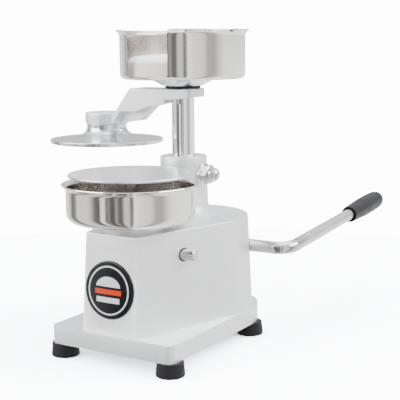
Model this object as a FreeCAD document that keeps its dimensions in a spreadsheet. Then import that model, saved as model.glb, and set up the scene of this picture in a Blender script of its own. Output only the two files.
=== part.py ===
import FreeCAD, Part
import math
import os
import re
import Sketcher

# Hand-operated patty press. Row frame: millimetres, +Z up, the table at Z = 0, the origin on the
# table at the centre of the four feet, +X to the operator's right, -Y towards the operator.

SIZES = {
    # stand: base plate, column and neck of the casting
    "base_bottom": 11.4, "base_top": 25.9, "base_front": -72.5, "base_rear": 98.5,
    "base_half": 57.9, "base_front_r": 6.0, "base_rear_r": 46.0,
    "column_top": 104.5, "column_round_y": 40.7, "column_edge_r": 0.9,
    "column_low_front": -72.5, "column_low_half": 25.3, "column_low_r": 57.4,
    "column_high_front": -66.4, "column_high_half": 23.9, "column_high_r": 53.6,
    "wall": 5.0, "ceiling": 98.5,
    "neck_top": 155.5, "neck_low_r": 21.0, "neck_high_r": 19.8, "neck_half": 18.3,
    "neck_sink": 1.0, "column_sink": 3.0, "neck_low_back": 20.0, "neck_high_back": 13.5, "neck_back_r": 7.0,
    "neck_root_r": 12.0,
    "seat_r": 25.0, "seat_top": 111.2,
    # feet
    "foot_x": 50.7, "foot_y": 63.1, "foot_low_r": 11.6, "foot_high_r": 10.5, "foot_edge_r": 0.8,
    "foot_recess_r": 5.6, "foot_recess_depth": 6.0, "foot_screw_r": 2.5, "foot_screw_depth": 9.0,
    "foot_screw_head_r": 4.6, "foot_screw_head": 3.0,
    "foot_washer_r": 5.3, "foot_washer": 1.0,
    # badge on the column's front
    "badge_r": 22.9, "badge_z": 61.5, "badge_edge": 1.4, "badge_dome": 1.2,
    # mould bowl and the nut that holds it
    "bowl_y": -39.3, "bowl_r": 51.0, "bowl_rim_r": 54.5, "bowl_rim_z": 141.5, "bowl_flare": 3.4,
    "bowl_sheet": 0.8, "bowl_foot_r": 9.0, "nut_r": 8.0, "nut_flange_r": 12.5, "nut_flange": 2.6,
    "nut_low": 90.5,
    # ejector
    "ejector_r": 49.25, "ejector_top": 149.0, "ejector_plate": 2.0, "ejector_edge": 0.5,
    "rod_r": 5.0, "rod_spigot_r": 3.0, "rod_spigot": 1.2, "rod_low": 56.0,
    "collar_r": 9.0, "collar": 6.0,
    # post with its retaining washer, crosshead and lifting bridge
    "post_y": 38.4, "post_r": 9.7, "post_top": 204.5, "post_chamfer": 0.8,
    "journal_r": 8.0, "spigot_r": 8.0, "spigot_top": 211.6, "groove_turn": 10.0, "groove_half": 1.8,
    "groove_depth": 2.6, "groove_low": 100.0, "groove_high": 199.0,
    "keeper_r": 10.5, "keeper": 1.5, "keeper_screw_r": 3.0, "keeper_screw": 16.0,
    "keeper_head_r": 5.5, "keeper_head": 3.2,
    "running": 0.06, "end_play": 0.1,
    "head_half": 16.0, "head_front": 25.5, "head_rear": 55.5, "head_high": 97.5, "head_chamfer": 2.0,
    "slot_z": 87.65, "slot_half": 5.3, "slot_front": 29.8, "slot_rear": 52.6, "slot_depth": 5.0,
    "bridge_low": 49.7, "bridge_plate": 6.0, "bridge_half": 10.0, "bridge_eye_r": 16.0, "bridge_eye": 14.0,
    "bridge_screw_x": 12.2, "bridge_screw_r": 1.9, "bridge_screw": 22.0, "bridge_head_r": 3.1,
    "bridge_head": 3.0, "bridge_head_sink": 0.4,
    "lug_top": 79.6, "lug_half": 5.0, "grub_r": 2.5,
    # lever with its cross shaft and crank
    "shaft_y": 70.7, "shaft_z": 76.3, "shaft_r": 5.4, "shaft_left": -36.3, "lever_x": 83.3,
    "bend_r": 14.0, "arm_rise": 4.2, "arm_reach": 190.0,
    "shaft_hole_r": 6.1, "bush_r": 7.6, "bush_inner": 24.0, "bush": 12.5, "bush_boss_r": 11.5,
    "crank_throw": 36.0, "crank_turn": 20.0, "crank_hub_r": 11.0, "crank_gap": 17.3,
    "crank_cheek": 6.0, "crank_eye_r": 7.6, "crank_pin_r": 4.0, "crank_pin_in": 11.6,
    "grip_start": 131.5, "grip_length": 73.0, "grip_mouth_r": 7.7, "grip_swell_r": 9.3,
    "grip_end_r": 8.6,
    # arm and press plate, swung out to the left of the bowl
    "swing": 87.28, "reach": 77.7, "arm_top": 211.8, "arm_half": 13.5, "arm_nose_half": 12.6,
    "arm_end_u": 14.5, "arm_end_low": 204.5, "arm_step_u": 11.1, "arm_step_high": 202.4,
    "arm_step_low": 199.9, "arm_belly_u": 29.0, "arm_belly_z": 196.0, "arm_flat_u": 40.0,
    "arm_flat_z": 192.0, "arm_corner_u": 44.5, "arm_bend_u": 46.5, "nose_inner_u": 54.7, "nose_foot_u": 62.4,
    "nose_foot_low_u": 63.6, "nose_merge_u": 66.5, "arm_edge_r": 1.1, "arm_end_r": 3.0,
    "arm_boss_r": 18.8, "arm_boss_top": 190.0, "arm_boss_low": 180.0, "arm_boss_edge_r": 1.4,
    "rib_half": 5.5, "rib_corner_u": 39.7, "rib_corner_z": 183.8, "rib_root_u": 26.0, "rib_root_z": 196.4,
    "plate_r": 49.7, "plate_low": 163.5, "plate_rim": 3.3, "plate_edge": 0.4, "plate_cone_r": 28.0,
    "plate_cone_z": 169.2, "plate_neck_r": 17.6,
    "plate_screw_r": 4.0, "plate_screw_head_r": 8.0, "plate_screw_head": 4.0,
    "plate_screw_top": 187.4, "key_r": 2.6, "key_depth": 1.4,
    # interleaf paper holder on top of the post
    "washer_r": 15.0, "washer": 2.4,
    "cone_low_r": 17.3, "cone_high_r": 26.3,
    "hopper_low": 219.7, "hopper_r": 52.6, "hopper_rim_r": 55.9, "hopper_rim_z": 260.3,
    "hopper_flare": 3.6, "hopper_sheet": 0.9, "hopper_foot_r": 4.5,
    "hopper_cut_turn": -4.1, "hopper_cut_half": 20.8, "hopper_cut_z": 222.6, "hopper_cut_r": 4.5,
    "hopper_screw_r": 3.0, "hopper_screw_low": 185.0, "hopper_screw_head_r": 6.5,
    "hopper_screw_head": 3.6,
    "paper_r": 45.8, "paper_top": 240.5, "paper_crown": 9.0, "paper_gap": 0.15,
    # brake screw on the neck's right flank
    "brake_z": 140.4, "brake_r": 4.0, "jam_nut_flats": 14.5, "jam_nut": 3.5,
    "cap_nut_flats": 13.0, "cap_nut_hex": 5.4, "cap_nut_dome_r": 6.2,
    "pad": 1.6, "pad_gap": 0.08,
    # stop pin across the column
    "stop_y": -22.0, "stop_z": 84.5, "stop_r": 4.5, "stop_hole_r": 5.6, "stop_left": -38.5,
    "stop_right": 49.0, "stop_chamfer": 0.9,
}

FEET = {"foot_front_left": ("-foot_x", "-foot_y"), "foot_front_right": ("foot_x", "-foot_y"),
        "foot_rear_left": ("-foot_x", "foot_y"), "foot_rear_right": ("foot_x", "foot_y")}

doc = FreeCAD.newDocument("patty_press")
sheet = doc.addObject("Spreadsheet::Sheet", "Sizes")
for row, (alias, number) in enumerate(SIZES.items(), start=1):
    sheet.set("A%d" % row, alias)
    sheet.set("B%d" % row, str(number))
    sheet.setAlias("B%d" % row, alias)
doc.recompute()

size = dict(SIZES)
FUNCTIONS = ("sin", "cos", "tan", "atan", "sqrt", "deg")


def bound(text):
    """Turn a formula of size names into an expression that reads the sheet."""
    def name(match):
        word = match.group(0)
        return word if word in FUNCTIONS else "Sizes." + word
    return re.sub(r"[a-z_][a-z_0-9]*", name, str(text))


def place(obj, x="0", y="0", z="0", turn="0", axis=(0, 0, 1)):
    """Put an object at sheet-driven coordinates, turned about one axis."""
    obj.Placement = FreeCAD.Placement(FreeCAD.Vector(0, 0, 0), FreeCAD.Rotation(FreeCAD.Vector(*axis), 1))
    obj.setExpression(".Placement.Base.x", bound(x))
    obj.setExpression(".Placement.Base.y", bound(y))
    obj.setExpression(".Placement.Base.z", bound(z))
    obj.setExpression(".Placement.Rotation.Angle", bound(turn))


def across(obj, x, y, z):
    """Lay an upright piece along +X from a point."""
    place(obj, x, y, z, "90", (0, 1, 0))
    return obj


def new_body(name):
    return doc.addObject("PartDesign::Body", name)


def new_sketch(body, name, plane, away="0"):
    """A sketch on one of the body's own planes, lifted along the plane's normal."""
    sketch = body.newObject("Sketcher::SketchObject", name)
    origin_plane = next(o for o in body.Origin.OriginFeatures if o.Role == plane)
    sketch.AttachmentSupport = [(origin_plane, "")]
    sketch.MapMode = "FlatFace"
    sketch.setExpression(".AttachmentOffset.Base.z", bound(away))
    return sketch


def hold(sketch, geometry, end, x, y):
    """Fix one point of a sketch by its sheet-driven distances from the origin."""
    for kind, text in (("DistanceX", x), ("DistanceY", y)):
        index = sketch.addConstraint(Sketcher.Constraint(kind, -1, 1, geometry, end, 1.0))
        sketch.setExpression("Constraints[%d]" % index, bound(text))


def polygon(sketch, corners):
    """A closed outline of straight lines through the given corners."""
    count = len(corners)
    start = sketch.GeometryCount
    ring = [FreeCAD.Vector(math.cos(2 * math.pi * i / count), math.sin(2 * math.pi * i / count), 0)
            for i in range(count)]
    for i in range(count):
        sketch.addGeometry(Part.LineSegment(ring[i], ring[(i + 1) % count]))
    for i in range(count):
        sketch.addConstraint(Sketcher.Constraint("Coincident", start + i, 2, start + (i + 1) % count, 1))
        hold(sketch, start + i, 1, *corners[i])


def circle(sketch, x, y, radius):
    """A circle with a sheet-driven centre and radius."""
    index = sketch.addGeometry(Part.Circle(FreeCAD.Vector(1, 1, 0), FreeCAD.Vector(0, 0, 1), 5))
    hold(sketch, index, 3, x, y)
    radial = sketch.addConstraint(Sketcher.Constraint("Radius", index, 5.0))
    sketch.setExpression("Constraints[%d]" % radial, bound(radius))


def revolve(body, sketch, name="turning"):
    feature = body.newObject("PartDesign::Revolution", name)
    feature.Profile = sketch
    feature.ReferenceAxis = (sketch, ["V_Axis"])
    feature.Angle = 360
    return feature


def pad(body, sketch, length, name="pad", both_ways=False):
    feature = body.newObject("PartDesign::Pad", name)
    feature.Profile = sketch
    feature.setExpression("Length", bound(length))
    feature.Midplane = both_ways
    return feature


def pocket(body, sketch, length, name="pocket", flipped=False, both_ways=False):
    feature = body.newObject("PartDesign::Pocket", name)
    feature.Profile = sketch
    feature.setExpression("Length", bound(length))
    feature.Reversed = flipped
    feature.Midplane = both_ways
    return feature


def loft(body, low, high, name, cut=False):
    kind = "PartDesign::SubtractiveLoft" if cut else "PartDesign::AdditiveLoft"
    feature = body.newObject(kind, name)
    feature.Profile = low
    feature.Sections = [high]
    return feature


def edges_where(shape, test):
    return ["Edge%d" % n for n, edge in enumerate(shape.Edges, start=1) if test(edge)]


def round_edges(body, radius, test, name="rounding"):
    """Fillet the edges of the body's last feature that pass a test of place and length."""
    doc.recompute()
    last = body.Tip
    picked = edges_where(last.Shape, test)
    if not picked:
        raise ValueError("no edge to round for " + name)
    feature = body.newObject("PartDesign::Fillet", name)
    feature.Base = (last, picked)
    feature.setExpression("Radius", bound(radius))
    return feature


def spans(edge, axis, low, high):
    """True when an edge lies between two heights along an axis (0, 1 or 2)."""
    box = edge.BoundBox
    ends = ((box.XMin, box.XMax), (box.YMin, box.YMax), (box.ZMin, box.ZMax))[axis]
    return low - 0.01 <= ends[0] and ends[1] <= high + 0.01


def turned(name, corners, x="0", y="0"):
    """A turned piece: an outline of radius and height spun about an upright axis."""
    body = new_body(name)
    outline = new_sketch(body, name + "_outline", "XZ_Plane")
    polygon(outline, corners)
    revolve(body, outline)
    place(body, x, y)
    return body


def cylinder(name, radius, height):
    obj = doc.addObject("Part::Cylinder", name)
    obj.setExpression("Radius", bound(radius))
    obj.setExpression("Height", bound(height))
    return obj


def box(name, length, width, height):
    obj = doc.addObject("Part::Box", name)
    obj.setExpression("Length", bound(length))
    obj.setExpression("Width", bound(width))
    obj.setExpression("Height", bound(height))
    return obj


def fuse(name, pieces):
    obj = doc.addObject("Part::MultiFuse", name)
    obj.Shapes = pieces
    obj.Refine = True
    return obj


def cut(name, base, tools):
    """The base less one or more tools."""
    obj = doc.addObject("Part::Cut", name)
    obj.Base = base
    obj.Tool = tools[0] if len(tools) == 1 else fuse(name + "_tools", tools)
    obj.Refine = True
    return obj


def group(name, pieces):
    """Equal pieces kept as separate solids of one sub-part."""
    obj = doc.addObject("Part::Compound", name)
    obj.Links = pieces
    return obj


def hexagon(sketch, flats):
    """A hexagon about the sketch origin, two corners on its V axis."""
    corner = "%s / sqrt(3)" % flats
    half = "%s / 2" % flats
    low = "%s / sqrt(3) / 2" % flats
    polygon(sketch, [("0", corner), ("-" + half, low), ("-" + half, "-" + low), ("0", "-" + corner),
                     (half, "-" + low), (half, low)])


def column_outline(sketch, front, half, radius, inset="0"):
    """Flat narrow front, two straight sides and a round rear end that they run into smoothly."""
    inset_size = size.get(inset, 0.0)
    y_front = size[front] + inset_size
    x_front = size[half] - inset_size
    round_r = size[radius] - inset_size
    y_round = size["column_round_y"]
    reach = math.hypot(x_front, y_round - y_front)
    lean = math.asin(round_r / reach) - math.atan2(x_front, y_round - y_front)
    touch = FreeCAD.Vector(round_r * math.cos(lean), y_round - round_r * math.sin(lean), 0)
    mirrored = FreeCAD.Vector(-touch.x, touch.y, 0)
    left = FreeCAD.Vector(-x_front, y_front, 0)
    right = FreeCAD.Vector(x_front, y_front, 0)
    centre = FreeCAD.Vector(0, y_round, 0)
    rear = Part.Circle(centre, FreeCAD.Vector(0, 0, 1), round_r)
    sketch.addGeometry(Part.LineSegment(left, right))
    sketch.addGeometry(Part.LineSegment(right, touch))
    sketch.addGeometry(Part.ArcOfCircle(rear, -lean, math.pi + lean))
    sketch.addGeometry(Part.LineSegment(mirrored, left))
    sketch.addConstraint(Sketcher.Constraint("Coincident", 0, 2, 1, 1))
    sketch.addConstraint(Sketcher.Constraint("Tangent", 1, 2, 2, 1))
    sketch.addConstraint(Sketcher.Constraint("Tangent", 2, 2, 3, 1))
    sketch.addConstraint(Sketcher.Constraint("Coincident", 3, 2, 0, 1))
    hold(sketch, 0, 1, "%s - %s" % (inset, half), "%s + %s" % (front, inset))
    hold(sketch, 0, 2, "%s - %s" % (half, inset), "%s + %s" % (front, inset))
    hold(sketch, 2, 3, "0", "column_round_y")
    radial = sketch.addConstraint(Sketcher.Constraint("Radius", 2, round_r))
    sketch.setExpression("Constraints[%d]" % radial, bound("%s - %s" % (radius, inset)))


def soften(name, base, radius, test):
    """Fillet the edges of a Part object that pass a test of place and length."""
    doc.recompute()
    numbers = [n for n, edge in enumerate(base.Shape.Edges, start=1) if test(edge)]
    if not numbers:
        raise ValueError("no edge to soften for " + name)
    obj = doc.addObject("Part::Fillet", name)
    obj.Base = base
    obj.Edges = [(n, size[radius], size[radius]) for n in numbers]
    return obj


def make_base_plate():
    body = new_body("base_plate")
    plan = new_sketch(body, "base_plan", "XY_Plane", "base_bottom")
    polygon(plan, [("-base_half", "base_front"), ("base_half", "base_front"),
                   ("base_half", "base_rear"), ("-base_half", "base_rear")])
    pad(body, plan, "base_top - base_bottom", "base_slab")
    upright = size["base_top"] - size["base_bottom"]
    rear = size["base_rear"]
    front = size["base_front"]
    round_edges(body, "base_rear_r", lambda e: abs(e.Length - upright) < 0.01 and spans(e, 1, rear, rear),
                "rear_corners")
    round_edges(body, "base_front_r", lambda e: abs(e.Length - upright) < 0.01 and spans(e, 1, front, front),
                "front_corners")
    return body


def make_column(name, low_z, high_z, inset="0"):
    """Tapering column between two outlines; with an inset it is the hollow inside."""
    body = new_body(name)
    low = new_sketch(body, name + "_low", "XY_Plane", low_z)
    column_outline(low, "column_low_front", "column_low_half", "column_low_r", inset)
    high = new_sketch(body, name + "_high", "XY_Plane", high_z)
    column_outline(high, "column_high_front", "column_high_half", "column_high_r", inset)
    loft(body, low, high, name + "_loft")
    return body


def make_neck():
    """Tapered round front, flat upright flanks and a leaning back with rounded corners."""
    front = doc.addObject("Part::Cone", "neck_front")
    for field, text in (("Radius1", "neck_low_r"), ("Radius2", "neck_high_r"),
                        ("Height", "neck_top - column_top + neck_sink")):
        front.setExpression(field, bound(text))
    place(front, "0", "post_y", "column_top - neck_sink")
    rear = new_body("neck_rear")
    low = new_sketch(rear, "neck_low", "XY_Plane", "column_top - neck_sink")
    polygon(low, [("-neck_half", "post_y"), ("neck_half", "post_y"),
                  ("neck_half", "post_y + neck_low_back"), ("-neck_half", "post_y + neck_low_back")])
    high = new_sketch(rear, "neck_high", "XY_Plane", "neck_top")
    polygon(high, [("-neck_half", "post_y"), ("neck_half", "post_y"),
                   ("neck_half", "post_y + neck_high_back"), ("-neck_half", "post_y + neck_high_back")])
    loft(rear, low, high, "neck_rear_loft")
    rise = size["neck_top"] - size["column_top"]
    back = size["post_y"] + size["neck_high_back"] - 1
    round_edges(rear, "neck_back_r", lambda e: e.BoundBox.ZLength > rise and e.BoundBox.YMin > back,
                "neck_back_corners")
    slab = box("neck_slab", "2 * neck_half", "4 * neck_low_r", "neck_top - column_top + 2 * neck_sink")
    place(slab, "-neck_half", "post_y - 2 * neck_low_r", "column_top - neck_sink")
    neck = doc.addObject("Part::MultiCommon", "neck")
    neck.Shapes = [fuse("neck_blank", [front, rear]), slab]
    neck.Refine = True
    return neck


def make_base_casting():
    """Base plate, hollow column, mould seat and post neck, all one aluminium casting."""
    column = make_column("column", "base_top - column_sink", "column_top")
    seat = cylinder("seat", "seat_r", "seat_top - column_top + 1")
    place(seat, "0", "bowl_y", "column_top - 1")
    outside = fuse("casting_outside", [make_base_plate(), column, seat, make_neck()])
    hollow = make_column("hollow", "base_bottom", "ceiling", "wall")
    shell = cut("casting_shell", outside, [hollow])
    bosses = []
    for side, sign, turn in (("right", "", "90"), ("left", "-", "-90")):
        blank = cylinder(side + "_boss_blank", "bush_boss_r", "column_low_r")
        place(blank, sign + "bush_inner", "shaft_y", "shaft_z", turn, (0, 1, 0))
        boss = doc.addObject("Part::MultiCommon", side + "_boss")
        boss.Shapes = [blank, column]
        bosses.append(boss)
    blank = fuse("casting_blank", [shell] + bosses)
    top = size["column_top"]
    front = size["post_y"] - size["neck_low_r"] - 1
    back = size["post_y"] + size["neck_low_back"] + 1
    half = size["neck_half"] + 0.1
    rooted = soften("neck_root", blank, "neck_root_r",
                    lambda e: spans(e, 2, top, top) and spans(e, 1, front, back) and spans(e, 0, -half, half))
    outer = size["column_high_half"] + size["bowl_rim_r"] / 3
    lip = size["column_high_front"] + 0.5

    def rim_of_top(edge):
        box = edge.BoundBox
        return spans(edge, 2, top, top) and (box.XMax > outer or box.XMin < -outer or box.YMax < lip)
    top_rounded = soften("column_top_edge", rooted, "column_edge_r", rim_of_top)
    tools = []
    bore = cylinder("post_bore", "post_r + running", "neck_top - ceiling + 4")
    place(bore, "0", "post_y", "ceiling - 2")
    nut_hole = cylinder("nut_hole", "nut_r", "seat_top - ceiling + 4")
    place(nut_hole, "0", "bowl_y", "ceiling - 2")
    tools += [bore, nut_hole]
    for side, sign, turn in (("right", "", "90"), ("left", "-", "-90")):
        seat_hole = cylinder(side + "_bush_seat", "bush_r", "bush + 1")
        place(seat_hole, "%s(bush_inner - 1)" % sign, "shaft_y", "shaft_z", turn, (0, 1, 0))
        tools.append(seat_hole)
    shaft_hole = cylinder("shaft_hole", "shaft_hole_r", "column_low_r")
    across(shaft_hole, "bush_inner", "shaft_y", "shaft_z")
    stop_right = cylinder("stop_hole_right", "stop_hole_r", "column_low_r")
    across(stop_right, "0", "stop_y", "stop_z")
    stop_left = cylinder("stop_hole_left", "stop_r + running", "column_low_r")
    across(stop_left, "-column_low_r", "stop_y", "stop_z")
    brake_hole = cylinder("brake_hole", "brake_r", "neck_half")
    across(brake_hole, "spigot_r", "post_y", "brake_z")
    tools += [shaft_hole, stop_right, stop_left, brake_hole]
    for x, y in FEET.values():
        hole = cylinder("foot_hole", "foot_screw_r", "foot_screw_depth")
        place(hole, x, y, "base_bottom")
        tools.append(hole)
    return cut("base_casting", top_rounded, tools)


def make_foot(name, x, y):
    """Tapered rubber foot with a recess for its screw."""
    return turned(name, [("foot_recess_r", "0"), ("foot_low_r - foot_edge_r", "0"),
                         ("foot_low_r", "foot_edge_r"), ("foot_high_r", "base_bottom"),
                         ("foot_screw_r", "base_bottom"), ("foot_screw_r", "foot_recess_depth"),
                         ("foot_recess_r", "foot_recess_depth")], x, y)


def make_foot_screw(x, y):
    """Round-headed screw that holds one foot from below, with its washer seat."""
    seat = "foot_recess_depth - foot_washer"
    head = seat + " - foot_screw_head"
    tip = "base_bottom + foot_screw_depth - 1"
    return turned("foot_screw", [("0", head), ("foot_screw_head_r * 0.7", head),
                                 ("foot_screw_head_r", head + " + 1"), ("foot_screw_head_r", seat),
                                 ("foot_screw_r", seat), ("foot_screw_r", tip), ("0", tip)], x, y)


def make_foot_washer(x, y):
    return turned("foot_washer", [("foot_screw_r + 0.05", "foot_recess_depth - foot_washer"),
                                  ("foot_washer_r", "foot_recess_depth - foot_washer"),
                                  ("foot_washer_r", "foot_recess_depth"),
                                  ("foot_screw_r + 0.05", "foot_recess_depth")], x, y)


def make_badge():
    """Domed round badge lying on the leaning front of the column."""
    body = new_body("badge")
    outline = new_sketch(body, "badge_outline", "XZ_Plane")
    polygon(outline, [("0", "0"), ("badge_r", "0"), ("badge_r", "badge_edge * 0.6"),
                      ("badge_r - 0.6", "badge_edge"), ("badge_r * 0.7", "badge_edge + badge_dome * 0.55"),
                      ("badge_r * 0.35", "badge_edge + badge_dome * 0.9"), ("0", "badge_edge + badge_dome")])
    revolve(body, outline)
    lean = "atan((column_high_front - column_low_front) / (column_top - base_top + column_sink))"
    front = "column_low_front + (column_high_front - column_low_front)"
    front += " * (badge_z - base_top + column_sink) / (column_top - base_top + column_sink)"
    place(body, "0", front + " - 0.05", "badge_z", "90 deg - " + lean, (1, 0, 0))
    return body


def make_mould_bowl():
    """Spun steel bowl: flat floor with a centre hole, rounded foot, straight wall, flared rim."""
    body = new_body("bowl")
    outline = new_sketch(body, "bowl_outline", "XZ_Plane")
    polygon(outline, [("nut_r + 0.2", "seat_top"), ("bowl_r", "seat_top"),
                      ("bowl_r", "bowl_rim_z - bowl_flare"), ("bowl_rim_r", "bowl_rim_z - bowl_sheet"),
                      ("bowl_rim_r", "bowl_rim_z"), ("bowl_rim_r - 1.2", "bowl_rim_z"),
                      ("bowl_r - bowl_sheet", "bowl_rim_z - bowl_flare + 0.3"),
                      ("bowl_r - bowl_sheet", "seat_top + bowl_sheet"),
                      ("nut_r + 0.2", "seat_top + bowl_sheet")])
    revolve(body, outline)
    low = size["seat_top"]
    outer = size["bowl_r"]
    round_edges(body, "bowl_foot_r", lambda e: spans(e, 2, low, low) and spans(e, 0, -outer, outer)
                and e.BoundBox.XMax > outer - 0.01, "foot_outside")
    inner = outer - size["bowl_sheet"]
    floor = low + size["bowl_sheet"]
    round_edges(body, "bowl_foot_r - bowl_sheet", lambda e: spans(e, 2, floor, floor)
                and abs(e.BoundBox.XMax - inner) < 0.01, "foot_inside")
    place(body, "0", "bowl_y")
    return body


def make_bowl_nut():
    """Flanged guide nut: clamps the bowl to its seat and guides the ejector rod."""
    return turned("bowl_nut", [("rod_r + running", "nut_low"), ("nut_r - 0.8", "nut_low"),
                               ("nut_r", "nut_low + 0.8"), ("nut_r", "seat_top + bowl_sheet"),
                               ("nut_flange_r", "seat_top + bowl_sheet"),
                               ("nut_flange_r", "seat_top + bowl_sheet + nut_flange - 0.6"),
                               ("nut_flange_r - 0.6", "seat_top + bowl_sheet + nut_flange"),
                               ("rod_r + running", "seat_top + bowl_sheet + nut_flange")], "0", "bowl_y")


def make_ejector_plate():
    """Polished disc that lifts the finished patty out of the bowl."""
    low = "ejector_top - ejector_plate"
    return turned("ejector_plate", [("0", low + " + rod_spigot"), ("rod_spigot_r", low + " + rod_spigot"),
                                    ("rod_spigot_r", low), ("ejector_r - ejector_edge", low),
                                    ("ejector_r", low + " + ejector_edge"),
                                    ("ejector_r", "ejector_top - ejector_edge"),
                                    ("ejector_r - ejector_edge", "ejector_top"), ("0", "ejector_top")],
                  "0", "bowl_y")


def make_ejector_rod():
    top = "ejector_top - ejector_plate"
    return turned("ejector_rod", [("0", "rod_low"), ("rod_r - 0.6", "rod_low"),
                                  ("rod_r", "rod_low + 0.6"), ("rod_r", top), ("rod_spigot_r", top),
                                  ("rod_spigot_r", top + " + rod_spigot"), ("0", top + " + rod_spigot")],
                  "0", "bowl_y")


def make_rod_collar():
    """Collar at the rod's foot that the lifting bridge carries."""
    return turned("rod_collar", [("rod_r", "rod_low + 1"), ("collar_r - 0.8", "rod_low + 1"),
                                 ("collar_r", "rod_low + 1.8"), ("collar_r", "rod_low + collar + 0.2"),
                                 ("collar_r - 0.8", "rod_low + collar + 1"),
                                 ("rod_r", "rod_low + collar + 1")],
                  "0", "bowl_y")


def make_post():
    """Chromed post: sliding part with a groove, a spigot for the arm above and a journal below."""
    body = new_body("post_turning")
    outline = new_sketch(body, "post_outline", "XZ_Plane")
    foot = "bridge_low - end_play"
    shoulder = "head_high + end_play"
    polygon(outline, [("0", foot), ("journal_r - post_chamfer", foot),
                      ("journal_r", foot + " + post_chamfer"), ("journal_r", shoulder),
                      ("post_r", shoulder), ("post_r", "post_top"), ("spigot_r", "post_top"),
                      ("spigot_r", "spigot_top - post_chamfer"), ("spigot_r - post_chamfer", "spigot_top"),
                      ("0", "spigot_top")])
    revolve(body, outline)
    place(body, "0", "post_y")
    groove = box("post_groove", "2 * groove_half", "post_r", "groove_high - groove_low")
    turn = "groove_turn * 1 deg"
    reach = "(post_r + post_r - groove_depth)"
    place(groove, "%s * sin(%s) - groove_half * cos(%s)" % (reach, turn, turn),
          "post_y - %s * cos(%s) - groove_half * sin(%s)" % (reach, turn, turn), "groove_low", "groove_turn")
    tapping = cylinder("post_tapping", "hopper_screw_r", "spigot_top - hopper_screw_low + 2")
    place(tapping, "0", "post_y", "hopper_screw_low - 1")
    foot_tapping = cylinder("post_foot_tapping", "keeper_screw_r", "keeper_screw + 2")
    place(foot_tapping, "0", "post_y", "bridge_low - 1")
    return cut("post", body, [groove, tapping, foot_tapping])


def make_post_keeper():
    """Washer under the lifting bridge that keeps the turning post from lifting out."""
    high = "bridge_low - end_play"
    return turned("post_keeper", [("keeper_screw_r", high + " - keeper"), ("keeper_r", high + " - keeper"),
                                  ("keeper_r", high), ("keeper_screw_r", high)], "0", "post_y")


def make_keeper_screw():
    seat = "(bridge_low - end_play - keeper)"
    head = seat + " - keeper_head"
    return turned("keeper_screw", [("0", head), ("keeper_head_r * 0.7", head),
                                   ("keeper_head_r", seat + " - keeper_head * 0.6"), ("keeper_head_r", seat),
                                   ("keeper_screw_r", seat), ("keeper_screw_r", seat + " + keeper_screw"),
                                   ("0", seat + " + keeper_screw")], "0", "post_y")


def make_crosshead():
    """Block that carries the turning post; the crank pins work in its two side slots."""
    head_low = "(bridge_low + bridge_eye)"
    block = box("head_block", "2 * head_half", "head_rear - head_front", "head_high - %s" % head_low)
    place(block, "-head_half", "head_front", head_low)
    softened = doc.addObject("Part::Chamfer", "head_softened")
    softened.Base = block
    doc.recompute()
    height = size["head_high"] - size["bridge_low"] - size["bridge_eye"]
    edge = size["head_chamfer"]
    softened.Edges = [(n, edge, edge) for n, e in enumerate(block.Shape.Edges, start=1)
                      if e.BoundBox.ZLength > height - 0.01]
    bore = cylinder("head_bore", "journal_r + running", "head_high - %s + 2" % head_low)
    place(bore, "0", "post_y", head_low + " - 1")
    tools = [bore]
    for side, x in (("right", "head_half - slot_depth"), ("left", "-head_half - 1")):
        slot = box("head_slot_" + side, "slot_depth + 1", "slot_rear - slot_front", "2 * slot_half")
        place(slot, x, "slot_front", "slot_z - slot_half")
        tools.append(slot)
    for x in ("bridge_screw_x", "-bridge_screw_x"):
        hole = cylinder("head_screw_hole", "bridge_screw_r", "bridge_screw")
        place(hole, x, "post_y", "bridge_low + 1")
        tools.append(hole)
    return cut("crosshead", softened, tools)


def make_bridge():
    """Plate under the crosshead, forward to the ejector rod; its lug meets the stop pin."""
    arm = box("bridge_arm", "2 * bridge_half", "post_y - bowl_y", "bridge_plate")
    place(arm, "-bridge_half", "bowl_y", "bridge_low")
    eye = cylinder("bridge_eye", "bridge_eye_r", "bridge_eye")
    place(eye, "0", "post_y", "bridge_low")
    nose = cylinder("bridge_nose", "bridge_half", "bridge_plate")
    place(nose, "0", "bowl_y", "bridge_low")
    lug = box("bridge_lug", "2 * lug_half", "2 * stop_r", "lug_top - bridge_low")
    place(lug, "-lug_half", "stop_y - stop_r", "bridge_low")
    whole = fuse("bridge_blank", [arm, eye, nose, lug])
    bore = cylinder("bridge_bore", "journal_r + running", "bridge_eye + 2")
    place(bore, "0", "post_y", "bridge_low - 1")
    tools = [bore]
    for x in ("bridge_screw_x", "-bridge_screw_x"):
        sink = cylinder("bridge_screw_sink", "bridge_head_r", "bridge_head + bridge_head_sink + 1")
        place(sink, x, "post_y", "bridge_low - 1")
        hole = cylinder("bridge_screw_hole", "bridge_screw_r", "bridge_eye + 2")
        place(hole, x, "post_y", "bridge_low")
        tools += [sink, hole]
    return cut("lifting_bridge", whole, tools)


def make_bridge_screw(x):
    """Socket screw up through the bridge's eye into the crosshead."""
    low = "bridge_low + bridge_head_sink"
    return turned("bridge_screw", [("0", low + " + key_depth"), ("bridge_head_r / 2", low + " + key_depth"),
                                   ("bridge_head_r / 2", low), ("bridge_head_r", low),
                                   ("bridge_head_r", low + " + bridge_head"),
                                   ("bridge_screw_r", low + " + bridge_head"),
                                   ("bridge_screw_r", low + " + bridge_screw"),
                                   ("0", low + " + bridge_screw")], x, "post_y")


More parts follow.
